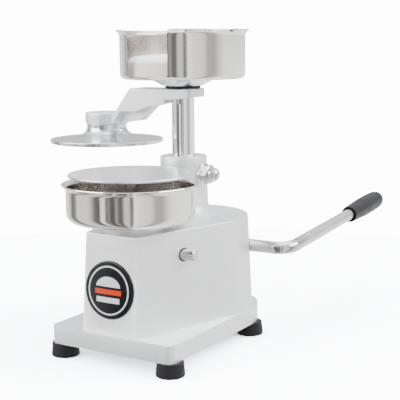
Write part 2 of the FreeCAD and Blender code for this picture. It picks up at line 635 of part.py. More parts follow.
def make_lever_rod():
    """One bent rod: straight cross shaft, a tight bend, and the arm that carries the grip."""
    body = new_body("lever")
    path = new_sketch(body, "lever_path", "XY_Plane")
    left = FreeCAD.Vector(size["shaft_left"], 0, 0)
    radius = size["bend_r"]
    knee = FreeCAD.Vector(size["lever_x"] - radius, 0, 0)
    turn_c = FreeCAD.Vector(size["lever_x"] - radius, radius, 0)
    rise = FreeCAD.Vector(size["lever_x"], radius, 0)
    end = FreeCAD.Vector(size["lever_x"], size["arm_reach"], 0)
    path.addGeometry(Part.LineSegment(left, knee))
    path.addGeometry(Part.ArcOfCircle(Part.Circle(turn_c, FreeCAD.Vector(0, 0, 1), radius), -math.pi / 2, 0))
    path.addGeometry(Part.LineSegment(rise, end))
    path.addConstraint(Sketcher.Constraint("Tangent", 0, 2, 1, 1))
    path.addConstraint(Sketcher.Constraint("Tangent", 1, 2, 2, 1))
    path.addConstraint(Sketcher.Constraint("Horizontal", 0))
    path.addConstraint(Sketcher.Constraint("Vertical", 2))
    hold(path, 0, 1, "shaft_left", "0")
    hold(path, 2, 2, "lever_x", "arm_reach")
    bend = path.addConstraint(Sketcher.Constraint("Radius", 1, radius))
    path.setExpression("Constraints[%d]" % bend, bound("bend_r"))
    section = new_sketch(body, "lever_section", "YZ_Plane", "shaft_left")
    circle(section, "0", "0", "shaft_r")
    rod = body.newObject("PartDesign::AdditivePipe", "rod")
    rod.Profile = section
    rod.Spine = (path, ["Edge1", "Edge2", "Edge3"])
    rod.Transition = "Transformed"
    place(body, "0", "shaft_y", "shaft_z", "arm_rise", (1, 0, 0))
    return body


def make_grip():
    """Black sleeve pushed over the lever's end: narrow mouth, gentle swell, rounded closed end."""
    body = new_body("lever_grip")
    outline = new_sketch(body, "grip_outline", "XZ_Plane")
    polygon(outline, [("shaft_r", "0"), ("grip_mouth_r - 0.5", "0"), ("grip_mouth_r", "0.5"),
                      ("grip_mouth_r + 0.9", "grip_length * 0.22"), ("grip_swell_r", "grip_length * 0.5"),
                      ("grip_swell_r", "grip_length * 0.72"), ("grip_end_r", "grip_length - 3"),
                      ("grip_end_r - 1.2", "grip_length - 1"), ("grip_end_r - 3.4", "grip_length"),
                      ("0", "grip_length"), ("0", "arm_reach - grip_start"),
                      ("shaft_r", "arm_reach - grip_start")])
    revolve(body, outline)
    lean = "arm_rise * 1 deg"
    place(body, "lever_x", "shaft_y + grip_start * cos(%s)" % lean, "shaft_z + grip_start * sin(%s)" % lean,
          "arm_rise - 90", (1, 0, 0))
    return body


def make_crank():
    """Forked crank on the shaft: a hub with two cheeks that reach forward to the crosshead."""
    turn = "crank_turn * 1 deg"
    pieces = []
    hub = cylinder("crank_hub", "crank_hub_r", "2 * (crank_gap + crank_cheek)")
    place(hub, "-crank_gap - crank_cheek", "shaft_y", "shaft_z", "90", (0, 1, 0))
    pieces.append(hub)
    for side, x in (("right", "crank_gap"), ("left", "-crank_gap - crank_cheek")):
        cheek = box("crank_cheek_" + side, "crank_cheek", "crank_throw", "2 * crank_eye_r")
        place(cheek, x, "shaft_y - crank_throw * cos(%s) - crank_eye_r * sin(%s)" % (turn, turn),
              "shaft_z + crank_throw * sin(%s) - crank_eye_r * cos(%s)" % (turn, turn),
              "-crank_turn", (1, 0, 0))
        eye = cylinder("crank_eye_" + side, "crank_eye_r", "crank_cheek")
        place(eye, x, "shaft_y - crank_throw * cos(%s)" % turn, "shaft_z + crank_throw * sin(%s)" % turn,
              "90", (0, 1, 0))
        pieces += [cheek, eye]
    blank = fuse("crank_blank", pieces)
    bore = cylinder("crank_bore", "shaft_r", "2 * (crank_gap + crank_cheek) + 2")
    place(bore, "-crank_gap - crank_cheek - 1", "shaft_y", "shaft_z", "90", (0, 1, 0))
    tools = [bore]
    for side, x in (("right", "crank_gap - 1"), ("left", "-crank_gap - crank_cheek - 1")):
        hole = cylinder("crank_pin_hole_" + side, "crank_pin_r", "crank_cheek + 2")
        place(hole, x, "shaft_y - crank_throw * cos(%s)" % turn, "shaft_z + crank_throw * sin(%s)" % turn,
              "90", (0, 1, 0))
        tools.append(hole)
    tap = cylinder("crank_tapping", "grub_r", "crank_hub_r + 2")
    place(tap, "0", "shaft_y", "shaft_z", "-90", (1, 0, 0))
    tools.append(tap)
    return cut("crank", blank, tools)


def make_crank_pins():
    """Two stub pins pressed into the crank's cheeks, one for each crosshead slot."""
    turn = "crank_turn * 1 deg"
    pins = []
    for x in ("crank_pin_in", "-crank_gap - crank_cheek"):
        pin = cylinder("crank_pin", "crank_pin_r", "crank_gap + crank_cheek - crank_pin_in")
        place(pin, x, "shaft_y - crank_throw * cos(%s)" % turn, "shaft_z + crank_throw * sin(%s)" % turn,
              "90", (0, 1, 0))
        pins.append(pin)
    return group("crank_pins", pins)


def make_crank_screw():
    """Grub screw that fixes the crank to the lever's shaft."""
    screw = cylinder("crank_screw", "grub_r", "crank_hub_r - shaft_r - 0.5")
    place(screw, "0", "shaft_y + shaft_r", "shaft_z", "-90", (1, 0, 0))
    return screw


def make_bush(x, turn):
    """Nylon bush that carries the shaft in a boss of the casting."""
    outer = cylinder("bush_outside", "bush_r", "bush")
    inner = cylinder("bush_inside", "shaft_r + running", "bush + 2")
    place(outer, x, "shaft_y", "shaft_z", turn, (0, 1, 0))
    place(inner, x + (" - 1" if turn == "90" else " + 1"), "shaft_y", "shaft_z", turn, (0, 1, 0))
    return cut("bush", outer, [inner])


def make_arm():
    """Cast arm, laid along -Y from the post: square end, deepening bar, sloping nose, rib and boss."""
    body = new_body("arm_casting")
    side = new_sketch(body, "arm_side", "YZ_Plane")
    polygon(side, [("arm_end_u", "arm_end_low"), ("arm_end_u", "arm_top"), ("-arm_corner_u", "arm_top"),
                   ("-nose_foot_u", "arm_boss_top - 1.5"), ("-nose_merge_u", "arm_boss_top - 1.5"),
                   ("-nose_merge_u", "arm_boss_low + 0.6"), ("-nose_foot_low_u", "arm_boss_low + 0.6"),
                   ("-nose_inner_u", "arm_flat_z"), ("-arm_flat_u", "arm_flat_z"),
                   ("-arm_belly_u", "arm_belly_z"), ("-arm_step_u", "arm_step_low"),
                   ("-arm_step_u", "arm_step_high")])
    pad(body, side, "2 * arm_half", "arm_bar", both_ways=True)
    for sign, name in (("", "right"), ("-", "left")):
        flank = new_sketch(body, name + "_flank", "XY_Plane", "arm_boss_low - 5")
        polygon(flank, [(sign + "arm_half", "-arm_bend_u"), (sign + "arm_nose_half", "-nose_merge_u"),
                        (sign + "2 * arm_half", "-nose_merge_u"), (sign + "2 * arm_half", "-arm_bend_u")])
        pocket(body, flank, "arm_top", name + "_flank_cut", flipped=True)
    end = size["arm_end_u"]
    low = size["arm_end_low"]
    round_edges(body, "arm_end_r", lambda e: spans(e, 1, end, end) and spans(e, 2, low, size["arm_top"])
                and e.BoundBox.XLength < 0.01, "end_corners")
    top = size["arm_top"]
    round_edges(body, "arm_edge_r", lambda e: spans(e, 2, top, top), "top_edge")
    boss = new_sketch(body, "boss_plan", "XY_Plane", "arm_boss_low")
    circle(boss, "0", "-reach", "arm_boss_r")
    pad(body, boss, "arm_boss_top - arm_boss_low", "boss")
    rib = new_sketch(body, "rib_side", "YZ_Plane")
    polygon(rib, [("-nose_foot_low_u - 1", "arm_boss_low"), ("-rib_corner_u", "rib_corner_z"),
                  ("-rib_root_u", "rib_root_z"), ("-rib_root_u", "arm_step_high"),
                  ("-arm_corner_u", "arm_step_high"), ("-nose_foot_low_u - 1", "arm_boss_low + 4")])
    pad(body, rib, "2 * rib_half", "rib", both_ways=True)
    boss_top = size["arm_boss_top"]
    boss_r = size["arm_boss_r"]
    round_edges(body, "arm_boss_edge_r", lambda e: spans(e, 2, boss_top, boss_top)
                and e.BoundBox.XLength > boss_r, "boss_edge")
    bore = cylinder("arm_bore", "spigot_r", "arm_top - arm_end_low + 4")
    place(bore, "0", "0", "arm_end_low - 2")
    seat = cylinder("arm_seat", "post_r", "post_top - arm_end_low + 4")
    place(seat, "0", "0", "arm_end_low - 4")
    screw_hole = cylinder("arm_screw_hole", "plate_screw_r", "plate_screw_top - arm_boss_low + 1")
    place(screw_hole, "0", "-reach", "arm_boss_low - 1")
    arm = cut("arm", body, [bore, seat, screw_hole])
    place(arm, "0", "post_y", "0", "-swing")
    return arm


def on_arm(obj):
    """Swing a piece that is modelled about the press plate's axis out with the arm."""
    turn = "swing * 1 deg"
    place(obj, "-reach * sin(%s)" % turn, "post_y - reach * cos(%s)" % turn, "0", "-swing")
    return obj


def make_press_plate():
    """Round press plate with a shallow cone, a flared hub and a countersunk screw seat below."""
    seat = "plate_low + plate_screw_head"
    rim = "plate_low + plate_rim"
    body = new_body("plate")
    outline = new_sketch(body, "plate_outline", "XZ_Plane")
    polygon(outline, [("plate_screw_r", seat), ("plate_screw_head_r", "plate_low"),
                      ("plate_r - plate_edge", "plate_low"), ("plate_r", "plate_low + plate_edge"),
                      ("plate_r", rim + " - plate_edge"), ("plate_r - plate_edge", rim),
                      ("plate_cone_r", "plate_cone_z"), ("plate_neck_r + 5.4", "plate_cone_z + 0.9"),
                      ("plate_neck_r + 2.8", "plate_cone_z + 2.1"),
                      ("plate_neck_r + 1.1", "plate_cone_z + 3.9"),
                      ("plate_neck_r", "plate_cone_z + 6.3"),
                      ("plate_neck_r", "arm_boss_low"), ("plate_screw_r", "arm_boss_low")])
    revolve(body, outline)
    return on_arm(body)


def make_plate_screw():
    """Countersunk socket screw up through the press plate into the arm's boss."""
    face = "plate_low + 0.2"
    body = new_body("plate_screw")
    outline = new_sketch(body, "plate_screw_outline", "XZ_Plane")
    polygon(outline, [("0", face + " + key_depth"), ("key_r", face + " + key_depth"), ("key_r", face),
                      ("plate_screw_head_r - 0.2", face),
                      ("plate_screw_r", "plate_low + plate_screw_head"),
                      ("plate_screw_r", "plate_screw_top - 1"), ("0", "plate_screw_top - 1")])
    revolve(body, outline)
    return on_arm(body)


def make_spacer_washer():
    """Black nylon washer between the arm's flat top and the paper holder's cone."""
    return turned("spacer_washer", [("hopper_screw_r", "arm_top"), ("washer_r", "arm_top"),
                                    ("washer_r", "arm_top + washer"), ("hopper_screw_r", "arm_top + washer")],
                  "0", "post_y")


def make_hopper_cone():
    """Turned cone that carries the paper holder on the post."""
    return turned("hopper_cone", [("hopper_screw_r", "arm_top + washer"), ("cone_low_r", "arm_top + washer"),
                                  ("cone_high_r", "hopper_low - 0.6"), ("cone_high_r", "hopper_low"),
                                  ("hopper_screw_r", "hopper_low")], "0", "post_y")


def make_hopper():
    """Spun steel paper holder: flared rim, rounded foot and a tall cut-out to take sheets through."""
    body = new_body("hopper_shell")
    outline = new_sketch(body, "hopper_outline", "XZ_Plane")
    polygon(outline, [("hopper_screw_r + 0.1", "hopper_low"), ("hopper_r", "hopper_low"),
                      ("hopper_r", "hopper_rim_z - hopper_flare"),
                      ("hopper_rim_r", "hopper_rim_z - hopper_sheet"), ("hopper_rim_r", "hopper_rim_z"),
                      ("hopper_rim_r - 1.2", "hopper_rim_z"),
                      ("hopper_r - hopper_sheet", "hopper_rim_z - hopper_flare + 0.3"),
                      ("hopper_r - hopper_sheet", "hopper_low + hopper_sheet"),
                      ("hopper_screw_r + 0.1", "hopper_low + hopper_sheet")])
    revolve(body, outline)
    low = size["hopper_low"]
    outer = size["hopper_r"]
    round_edges(body, "hopper_foot_r", lambda e: spans(e, 2, low, low)
                and abs(e.BoundBox.XMax - outer) < 0.01, "foot_outside")
    inner = outer - size["hopper_sheet"]
    floor = low + size["hopper_sheet"]
    round_edges(body, "hopper_foot_r - hopper_sheet", lambda e: spans(e, 2, floor, floor)
                and abs(e.BoundBox.XMax - inner) < 0.01, "foot_inside")
    window = new_sketch(body, "cut_out_front", "XZ_Plane", "hopper_r / 3")
    lip = "hopper_rim_z - hopper_cut_r"
    outward = [("hopper_cut_half - 2", "hopper_cut_z"), ("hopper_cut_half", "hopper_cut_z + 2"),
               ("hopper_cut_half", lip),
               ("hopper_cut_half + hopper_cut_r * 0.3", lip + " + hopper_cut_r * 0.7"),
               ("hopper_cut_half + hopper_cut_r", "hopper_rim_z"),
               ("hopper_cut_half + hopper_cut_r", "hopper_rim_z + 2")]
    mirrored = [("-(%s)" % x, z) for x, z in reversed(outward)]
    polygon(window, outward + mirrored)
    pocket(body, window, "hopper_rim_r", "cut_out", flipped=True)
    place(body, "0", "post_y", "0", "hopper_cut_turn")
    return body


def make_hopper_screw():
    """Round-headed screw down through the paper holder, cone and washer into the post."""
    seat = "hopper_low + hopper_sheet"
    return turned("hopper_screw", [("0", "hopper_screw_low"), ("hopper_screw_r", "hopper_screw_low"),
                                   ("hopper_screw_r", seat), ("hopper_screw_head_r", seat),
                                   ("hopper_screw_head_r", seat + " + 1.6"),
                                   ("hopper_screw_head_r * 0.7", seat + " + 3"),
                                   ("2.2", seat + " + hopper_screw_head"), ("2.2", seat + " + 1.8"),
                                   ("0", seat + " + 1.8")], "0", "post_y")


def make_paper():
    """Stack of round interleaf sheets with a soft crown, hollow below for the screw head."""
    low = "hopper_low + hopper_sheet + paper_gap"
    hollow = "hopper_low + hopper_sheet + hopper_screw_head + 1"
    return turned("paper_stack", [("hopper_screw_head_r + 1", low), ("paper_r", low),
                                  ("paper_r", "paper_top - paper_crown"),
                                  ("paper_r - paper_crown * 0.3", "paper_top - paper_crown * 0.45"),
                                  ("paper_r - paper_crown * 0.9", "paper_top - paper_crown * 0.12"),
                                  ("paper_r - paper_crown * 2", "paper_top"), ("0", "paper_top"),
                                  ("0", hollow), ("hopper_screw_head_r + 1", hollow)], "0", "post_y")


def make_brake_screw():
    """Threaded stud through the neck's flank."""
    screw = cylinder("brake_screw", "brake_r", "neck_half + jam_nut + cap_nut_hex - post_r - pad - 2")
    return across(screw, "post_r + pad + 0.2", "post_y", "brake_z")


def make_brake_pad():
    """Nylon pad at the stud's tip; it rubs on the post and holds it where it is left."""
    pad_piece = cylinder("brake_pad", "brake_r", "pad + 1")
    across(pad_piece, "post_r - 0.8", "post_y", "brake_z")
    post_shape = cylinder("pad_hollow", "post_r + pad_gap", "4 * brake_r")
    place(post_shape, "0", "post_y", "brake_z - 2 * brake_r")
    return cut("brake_pad_hollowed", pad_piece, [post_shape])


def make_jam_nut():
    body = new_body("jam_nut")
    plan = new_sketch(body, "jam_nut_plan", "XY_Plane")
    hexagon(plan, "jam_nut_flats")
    circle(plan, "0", "0", "brake_r")
    pad(body, plan, "jam_nut", "nut")
    return across(body, "neck_half", "post_y", "brake_z")


def make_cap_nut():
    """Domed nut that covers the stud's end: hexagon, round cap and a blind bore."""
    body = new_body("cap_nut_hexagon")
    plan = new_sketch(body, "cap_nut_plan", "XY_Plane")
    hexagon(plan, "cap_nut_flats")
    pad(body, plan, "cap_nut_hex", "nut")
    dome = new_sketch(body, "cap_nut_dome", "XZ_Plane")
    polygon(dome, [("0", "cap_nut_hex - 1"), ("cap_nut_dome_r", "cap_nut_hex - 1"),
                   ("cap_nut_dome_r", "cap_nut_hex + 1.2"),
                   ("cap_nut_dome_r * 0.92", "cap_nut_hex + 1.2 + cap_nut_dome_r * 0.38"),
                   ("cap_nut_dome_r * 0.71", "cap_nut_hex + 1.2 + cap_nut_dome_r * 0.7"),
                   ("cap_nut_dome_r * 0.38", "cap_nut_hex + 1.2 + cap_nut_dome_r * 0.92"),
                   ("0", "cap_nut_hex + 1.2 + cap_nut_dome_r")])
    revolve(body, dome, "dome")
    bore = new_sketch(body, "cap_nut_bore", "XY_Plane")
    circle(bore, "0", "0", "brake_r")
    pocket(body, bore, "cap_nut_hex - 0.5", "bore", flipped=True)
    return across(body, "neck_half + jam_nut", "post_y", "brake_z")


def make_stop_pin():
    """Cross pin with chamfered ends that stops the lifting bridge; it pulls out to the right."""
    body = new_body("stop_pin")
    outline = new_sketch(body, "stop_pin_outline", "XZ_Plane")
    length = "(stop_right - stop_left)"
    polygon(outline, [("0", "0"), ("stop_r - stop_chamfer", "0"), ("stop_r", "stop_chamfer"),
                      ("stop_r", length + " - stop_chamfer"), ("stop_r - stop_chamfer", length),
                      ("0", length)])
    revolve(body, outline)
    return across(body, "stop_left", "stop_y", "stop_z")


parts = {
    "base_casting": make_base_casting(),
    "foot_screws": group("foot_screws", [make_foot_screw(x, y) for x, y in FEET.values()]),
    "foot_washers": group("foot_washers", [make_foot_washer(x, y) for x, y in FEET.values()]),
    "badge_disc": make_badge(),
    "mould_bowl": make_mould_bowl(),
    "bowl_nut": make_bowl_nut(),
    "shaft_bushes": group("shaft_bushes", [make_bush("bush_inner", "90"), make_bush("-bush_inner", "-90")]),
    "brake_screw": make_brake_screw(),
    "brake_pad": make_brake_pad(),
    "jam_nut": make_jam_nut(),
    "cap_nut": make_cap_nut(),
    "ejector_plate": make_ejector_plate(),
    "ejector_rod": make_ejector_rod(),
    "rod_collar": make_rod_collar(),
    "post": make_post(),
    "crosshead": make_crosshead(),
    "lifting_bridge": make_bridge(),
    "bridge_screws": group("bridge_screws", [make_bridge_screw("bridge_screw_x"),
                                             make_bridge_screw("-bridge_screw_x")]),
    "post_keeper": make_post_keeper(),
    "keeper_screw": make_keeper_screw(),
    "spacer_washer": make_spacer_washer(),
    "hopper_cone": make_hopper_cone(),
    "hopper": make_hopper(),
    "hopper_screw": make_hopper_screw(),
    "paper_stack": make_paper(),
    "arm": make_arm(),
    "press_plate": make_press_plate(),
    "plate_screw": make_plate_screw(),
    "lever_rod": make_lever_rod(),
    "grip": make_grip(),
    "crank": make_crank(),
    "crank_pins": make_crank_pins(),
    "crank_screw": make_crank_screw(),
    "stop_pin": make_stop_pin(),
}
for foot, (foot_x, foot_y) in FEET.items():
    parts[foot] = make_foot(foot, foot_x, foot_y)

doc.recompute()
for obj in doc.Objects:
    if "Invalid" in obj.State or "Error" in obj.State:
        raise ValueError("%s is not valid: %s" % (obj.Name, obj.State))

os.makedirs("parts", exist_ok=True)
for node, obj in parts.items():
    obj.Label = node
    if obj.Shape.isNull() or not obj.Shape.isValid() or not obj.Shape.Solids:
        raise ValueError(node + " has no valid solid")
    obj.Shape.exportStep("parts/%s.step" % node)
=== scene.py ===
import math

import bmesh
import bpy
from bpy.props import FloatProperty, FloatVectorProperty, IntProperty, PointerProperty
from mathutils import Euler, Matrix, Vector


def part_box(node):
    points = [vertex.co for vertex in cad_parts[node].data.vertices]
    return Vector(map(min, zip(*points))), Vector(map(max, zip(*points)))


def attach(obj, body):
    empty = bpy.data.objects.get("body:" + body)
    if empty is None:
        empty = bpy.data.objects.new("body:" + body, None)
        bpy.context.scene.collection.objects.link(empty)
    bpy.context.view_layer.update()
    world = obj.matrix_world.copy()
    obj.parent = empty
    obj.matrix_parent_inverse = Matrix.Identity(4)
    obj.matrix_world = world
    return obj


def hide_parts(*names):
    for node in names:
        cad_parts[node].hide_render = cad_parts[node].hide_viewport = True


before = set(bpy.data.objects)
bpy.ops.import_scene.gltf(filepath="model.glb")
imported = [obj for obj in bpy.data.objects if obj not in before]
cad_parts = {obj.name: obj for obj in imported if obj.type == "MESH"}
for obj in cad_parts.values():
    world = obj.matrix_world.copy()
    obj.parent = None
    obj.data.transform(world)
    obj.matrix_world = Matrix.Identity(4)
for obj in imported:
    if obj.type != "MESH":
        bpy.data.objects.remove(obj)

bl_info = {
    "name": "Patty press",
    "version": (1, 0, 0),
    "blender": (4, 5, 0),
    "location": "3D View > Sidebar > Patty press",
    "description": "Models the finish pieces of a hand-lever patty press and its studio",
    "category": "Add Mesh",
}

MM = 0.001
# The room that the steel mirrors: (direction in degrees, brightness), all the way round the press.
ROOM_BANDS = (
    (-180, 0.10), (-169, 0.14), (-162, 0.50), (-136, 0.50), (-128, 0.30), (-121, 0.10), (-111, 0.06),
    (-108, 0.62), (-102, 0.62), (-99, 0.08), (-93, 0.16), (-90, 0.06), (-84, 0.06), (-80, 0.22),
    (-76, 0.09), (-70, 0.07), (-65, 0.40), (-58, 0.40), (-55, 0.10), (-51, 0.12), (-48, 0.80),
    (-38, 0.62), (-20, 0.52), (-11, 0.26), (2, 0.26), (14, 0.52), (24, 0.75), (60, 0.80), (120, 0.80),
    (158, 0.66), (170, 0.45), (180, 0.10),
)
SHAFT = Vector((0, 70.7 * MM, 76.3 * MM))  # where the arm's line crosses the lever's cross shaft
ARM_RISE = math.radians(4.2)  # the lever's arm above level, at rest
GRIP_START = 131.5 * MM  # from the cross shaft, along the arm
GRIP_LENGTH = 73.0 * MM
HOLDER_TURN = math.radians(-4.1)  # the cut-out's middle, from the front
PLATE_TOP = 25.9 * MM  # flat top of the base plate
GROOVE_LEVELS = (100 * MM, 199 * MM)  # the post's groove lies between these heights
BADGE_SLOPE = (6.1, 81.6)  # how far the column's front leans back, and over what height
FEET = ("foot_front_left", "foot_front_right", "foot_rear_left", "foot_rear_right")
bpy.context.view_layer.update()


def middle(node):
    """The centre of a CAD node's box."""
    low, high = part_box(node)
    return (low + high) / 2


def half_width(node):
    """Half of a CAD node's box along X, which is the radius of a round piece."""
    low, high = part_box(node)
    return (high.x - low.x) / 2


def length(name, description, default):
    return FloatProperty(name=name, description=description, default=default, unit="LENGTH", precision=4)


def colour(name, description, default):
    return FloatVectorProperty(name=name, description=description, default=default, subtype="COLOR",
                               min=0.0, max=1.0, size=3)


class PressSizes(bpy.types.PropertyGroup):
    """Sizes that the finish pieces add to what the frame already fixes."""
    bowl_sheet: length("Bowl sheet", "Thickness of the bowl's and the holder's steel", 0.8 * MM)
    rod_radius: length("Rod radius", "Radius of the lever's rod", 5.4 * MM)
    rod_bend: length("Rod bend", "Radius of the lever's bend", 14.0 * MM)
    rod_reach: length("Rod reach", "Length of the lever's arm from its cross shaft", 190.0 * MM)
    bowl_foot: length("Bowl foot radius", "Radius between the bowl's wall and floor", 8.4 * MM)
    bowl_lip: length("Bowl lip", "How far the bowl's rim flares beyond its wall", 3.5 * MM)
    holder_foot: length("Holder foot radius", "Radius between the holder's wall and floor", 4.5 * MM)
    holder_lip: length("Holder lip", "How far the holder's rim flares beyond its wall", 3.3 * MM)
    paper_crown: length("Paper crown", "How far the stack's top rises over its side", 6.5 * MM)
    cut_half: length("Cut-out half width", "Half the width of the holder's cut-out", 20.8 * MM)
    cut_corner: length("Cut-out corner", "Radius of the cut-out's upper corners", 5.0 * MM)
    cut_floor: length("Cut-out floor", "Height of the cut-out's foot above the holder's floor", 2.9 * MM)
    edge_round: length("Casting edge", "Radius on the casting's edges", 0.9 * MM)
    room_light: FloatProperty(name="Room light", description="Strength of the room the steel mirrors",
                              default=2.7, min=0.0)
    backdrop: FloatProperty(name="Backdrop", description="Strength of the plain backdrop",
                            default=14.0, min=0.0)
    floor_size: length("Floor radius", "Radius of the studio floor", 520 * MM)
    steps: IntProperty(name="Steps round", description="Steps round each turned piece", default=128, min=24)


class PressColours(bpy.types.PropertyGroup):
    """Colours of the finishes."""
    aluminium: colour("Cast aluminium", "Satin casting", (0.86, 0.87, 0.885))
    plate: colour("Turned aluminium", "Press plate and ejector", (0.80, 0.81, 0.83))
    steel: colour("Stainless steel", "Outside of the bowl and the holder", (0.78, 0.768, 0.742))
    # painted shade: the inside steel is darker and browner than the outside steel, standing in for the
    # shade inside the bowl and the holder; its grain is a real brush-grained finish
    brushed: colour("Brushed steel", "Inside of the bowl and the holder", (0.60, 0.57, 0.54))
    # painted shade: the groove's dark brown colour stands in for the shade inside the slot
    groove: colour("Groove", "Unplated groove in the post", (0.20, 0.17, 0.145))
    fixing: colour("Fixings", "Nuts, pins and screws", (0.60, 0.585, 0.56))
    chrome: colour("Chrome", "Post and lever", (0.86, 0.87, 0.89))
    rubber: colour("Rubber", "Feet", (0.011, 0.011, 0.012))
    grip: colour("Grip", "Lever sleeve", (0.011, 0.0115, 0.013))
    badge: colour("Badge", "Badge ground", (0.006, 0.006, 0.007))
    badge_mark: colour("Badge mark", "Warm part of the badge's picture", (0.55, 0.035, 0.008))
    badge_line: colour("Badge line", "Pale part of the badge's picture", (0.62, 0.63, 0.64))
    paper: colour("Paper", "Top of the interleaf sheets", (0.97, 0.97, 0.965))
    paper_side: colour("Paper edges", "Side of the stack", (0.86, 0.80, 0.69))
    zinc: colour("Zinc", "Plated screws and the hidden pieces", (0.58, 0.59, 0.60))
    zinc_dark: colour("Zinc, dark", "Darker patches of the plating", (0.50, 0.51, 0.53))
    zinc_light: colour("Zinc, light", "Lighter patches of the plating", (0.64, 0.65, 0.65))
    nylon: colour("Nylon", "Washer, bushes and pad", (0.015, 0.015, 0.016))


# ---------------------------------------------------------------- modelling by hand


def settings():
    return bpy.context.scene.press_sizes


def colours():
    return bpy.context.scene.press_colours


def take(obj):
    """Select one object alone and make it active."""
    bpy.ops.object.select_all(action="DESELECT")
    obj.select_set(True)
    bpy.context.view_layer.objects.active = obj


def open_mesh(obj, mode="VERT"):
    take(obj)
    bpy.ops.object.mode_set(mode="EDIT")
    bpy.ops.mesh.select_mode(type=mode)


def close_mesh():
    bpy.ops.object.mode_set(mode="OBJECT")


def pick(obj, kind, test):
    """In edit mode, select the vertices, edges or faces that pass a test."""
    bpy.ops.mesh.select_all(action="DESELECT")
    mesh = bmesh.from_edit_mesh(obj.data)
    count = 0
    for item in getattr(mesh, kind):
        if test(item):
            item.select_set(True)
            count += 1
    bmesh.update_edit_mesh(obj.data)
    return count


def apply_place(obj):
    """Put the object's place into its mesh."""
    take(obj)
    bpy.ops.object.transform_apply(location=True, rotation=True, scale=True)


def add_modifier(obj, kind, **values):
    """Add a modifier with its values and apply it."""
    take(obj)
    modifier = obj.modifiers.new(kind.title(), kind)
    for name, value in values.items():
        setattr(modifier, name, value)
    bpy.ops.object.modifier_apply(modifier=modifier.name)


def smooth(obj, angle=35.0, even=True):
    """Shade smooth up to an angle; even keeps wide faces truly flat or straight."""
    take(obj)
    bpy.ops.object.shade_smooth_by_angle(angle=math.radians(angle))
    if even:
        add_modifier(obj, "WEIGHTED_NORMAL", keep_sharp=True, weight=60)


def turned(name, corners, closed=False, steps=None):
    """Turn an outline of (radius, height, corner radius) points about the Z axis."""
    bpy.ops.object.select_all(action="DESELECT")
    bpy.ops.mesh.primitive_plane_add(size=MM)
    obj = bpy.context.object
    obj.name = name

    def at(spots, near=1e-6):
        return lambda v: any(abs(v.co.x - r) < near and abs(v.co.z - z) < near for r, z in spots)

    open_mesh(obj)
    bpy.ops.mesh.select_all(action="SELECT")
    bpy.ops.mesh.merge(type="CENTER")
    bpy.ops.transform.translate(value=(corners[0][0], 0, corners[0][1]))
    for before, after in zip(corners, corners[1:]):
        step = (after[0] - before[0], 0, after[1] - before[1])
        bpy.ops.mesh.extrude_vertices_move(TRANSFORM_OT_translate={"value": step})
    if closed:
        pick(obj, "verts", at([corners[0][:2], corners[-1][:2]]))
        bpy.ops.mesh.edge_face_add()
    for radius in sorted({corner[2] for corner in corners if corner[2] > 0}, reverse=True):
        pick(obj, "verts", at([(r, z) for r, z, rounding in corners if rounding == radius]))
        bpy.ops.mesh.bevel(affect="VERTICES", offset=radius, segments=max(3, int(radius / MM) + 3))
    bpy.ops.mesh.select_all(action="SELECT")
    bpy.ops.mesh.spin(steps=steps or settings().steps, angle=2 * math.pi, center=(0, 0, 0), axis=(0, 0, 1))
    bpy.ops.mesh.select_all(action="SELECT")
    bpy.ops.mesh.remove_doubles(threshold=2e-6)
    bpy.ops.mesh.normals_make_consistent(inside=False)
    close_mesh()
    return obj


def put(obj, place, turn=None):
    """Move a piece made about the origin to its place, turned by XYZ angles in radians."""
    obj.location = place
    if turn:
        obj.rotation_euler = Euler(turn, "XYZ")
    apply_place(obj)


def copy_node(node, name, joined=True):
    """A merged working copy of a CAD node; joined makes one face of each flat."""
    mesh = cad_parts[node].data.copy()
    obj = bpy.data.objects.new(name, mesh)
    bpy.context.scene.collection.objects.link(obj)
    mesh.materials.clear()
    open_mesh(obj)
    bpy.ops.mesh.select_all(action="SELECT")
    bpy.ops.mesh.remove_doubles(threshold=4e-6)
    if joined:
        bpy.ops.mesh.dissolve_limited(angle_limit=math.radians(0.6))
    bpy.ops.mesh.customdata_custom_splitnormals_clear()
    close_mesh()
    return obj


def soften(obj, width, test, segments=3):
    """Round the sharp edges that pass a test."""
    open_mesh(obj, "EDGE")
    bend = math.radians(28)
    found = pick(obj, "edges", lambda e: len(e.link_faces) == 2 and e.calc_face_angle(0) > bend and test(e))
    if not found:
        raise RuntimeError("no edge to round on " + obj.name)
    bpy.ops.mesh.bevel(offset=width, segments=segments, affect="EDGES", clamp_overlap=True)
    close_mesh()


def finish_piece(obj, body, nodes, material):
    """Give a finished piece its material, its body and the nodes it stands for."""
    if material is not None:
        obj.data.materials.clear()
        obj.data.materials.append(material)
    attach(obj, body)
    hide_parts(*nodes)


# ---------------------------------------------------------------- shader groups


def new_group(name, inputs, outputs):
    group = bpy.data.node_groups.new(name, "ShaderNodeTree")
    for label, kind, default in inputs:
        socket = group.interface.new_socket(label, in_out="INPUT", socket_type=kind)
        if default is not None:
            socket.default_value = default
    for label, kind in outputs:
        group.interface.new_socket(label, in_out="OUTPUT", socket_type=kind)
    start = group.nodes.new("NodeGroupInput")
    end = group.nodes.new("NodeGroupOutput")
    return group, start, end


def feed(tree, socket, value):
    """Link a socket to another one, or give it a plain value."""
    if isinstance(value, bpy.types.NodeSocket):
        tree.links.new(value, socket)
    else:
        socket.default_value = value


def math_node(tree, operation, first, second=None):
    node = tree.nodes.new("ShaderNodeMath")
    node.operation = operation
    feed(tree, node.inputs[0], first)
    if second is not None:
        feed(tree, node.inputs[1], second)
    return node.outputs[0]


def vector_node(tree, operation, first, second=None):
    node = tree.nodes.new("ShaderNodeVectorMath")
    node.operation = operation
    feed(tree, node.inputs[0], first)
    if second is not None:
        feed(tree, node.inputs[1], second)
    return node


def mix_node(tree, factor, first, second, kind="RGBA"):
    """Between two values or colours by a factor."""
    node = tree.nodes.new("ShaderNodeMix")
    node.data_type = kind
    feed(tree, node.inputs["Factor"], factor)
    feed(tree, node.inputs["A"], first)
    feed(tree, node.inputs["B"], second)
    return node.outputs["Result"]


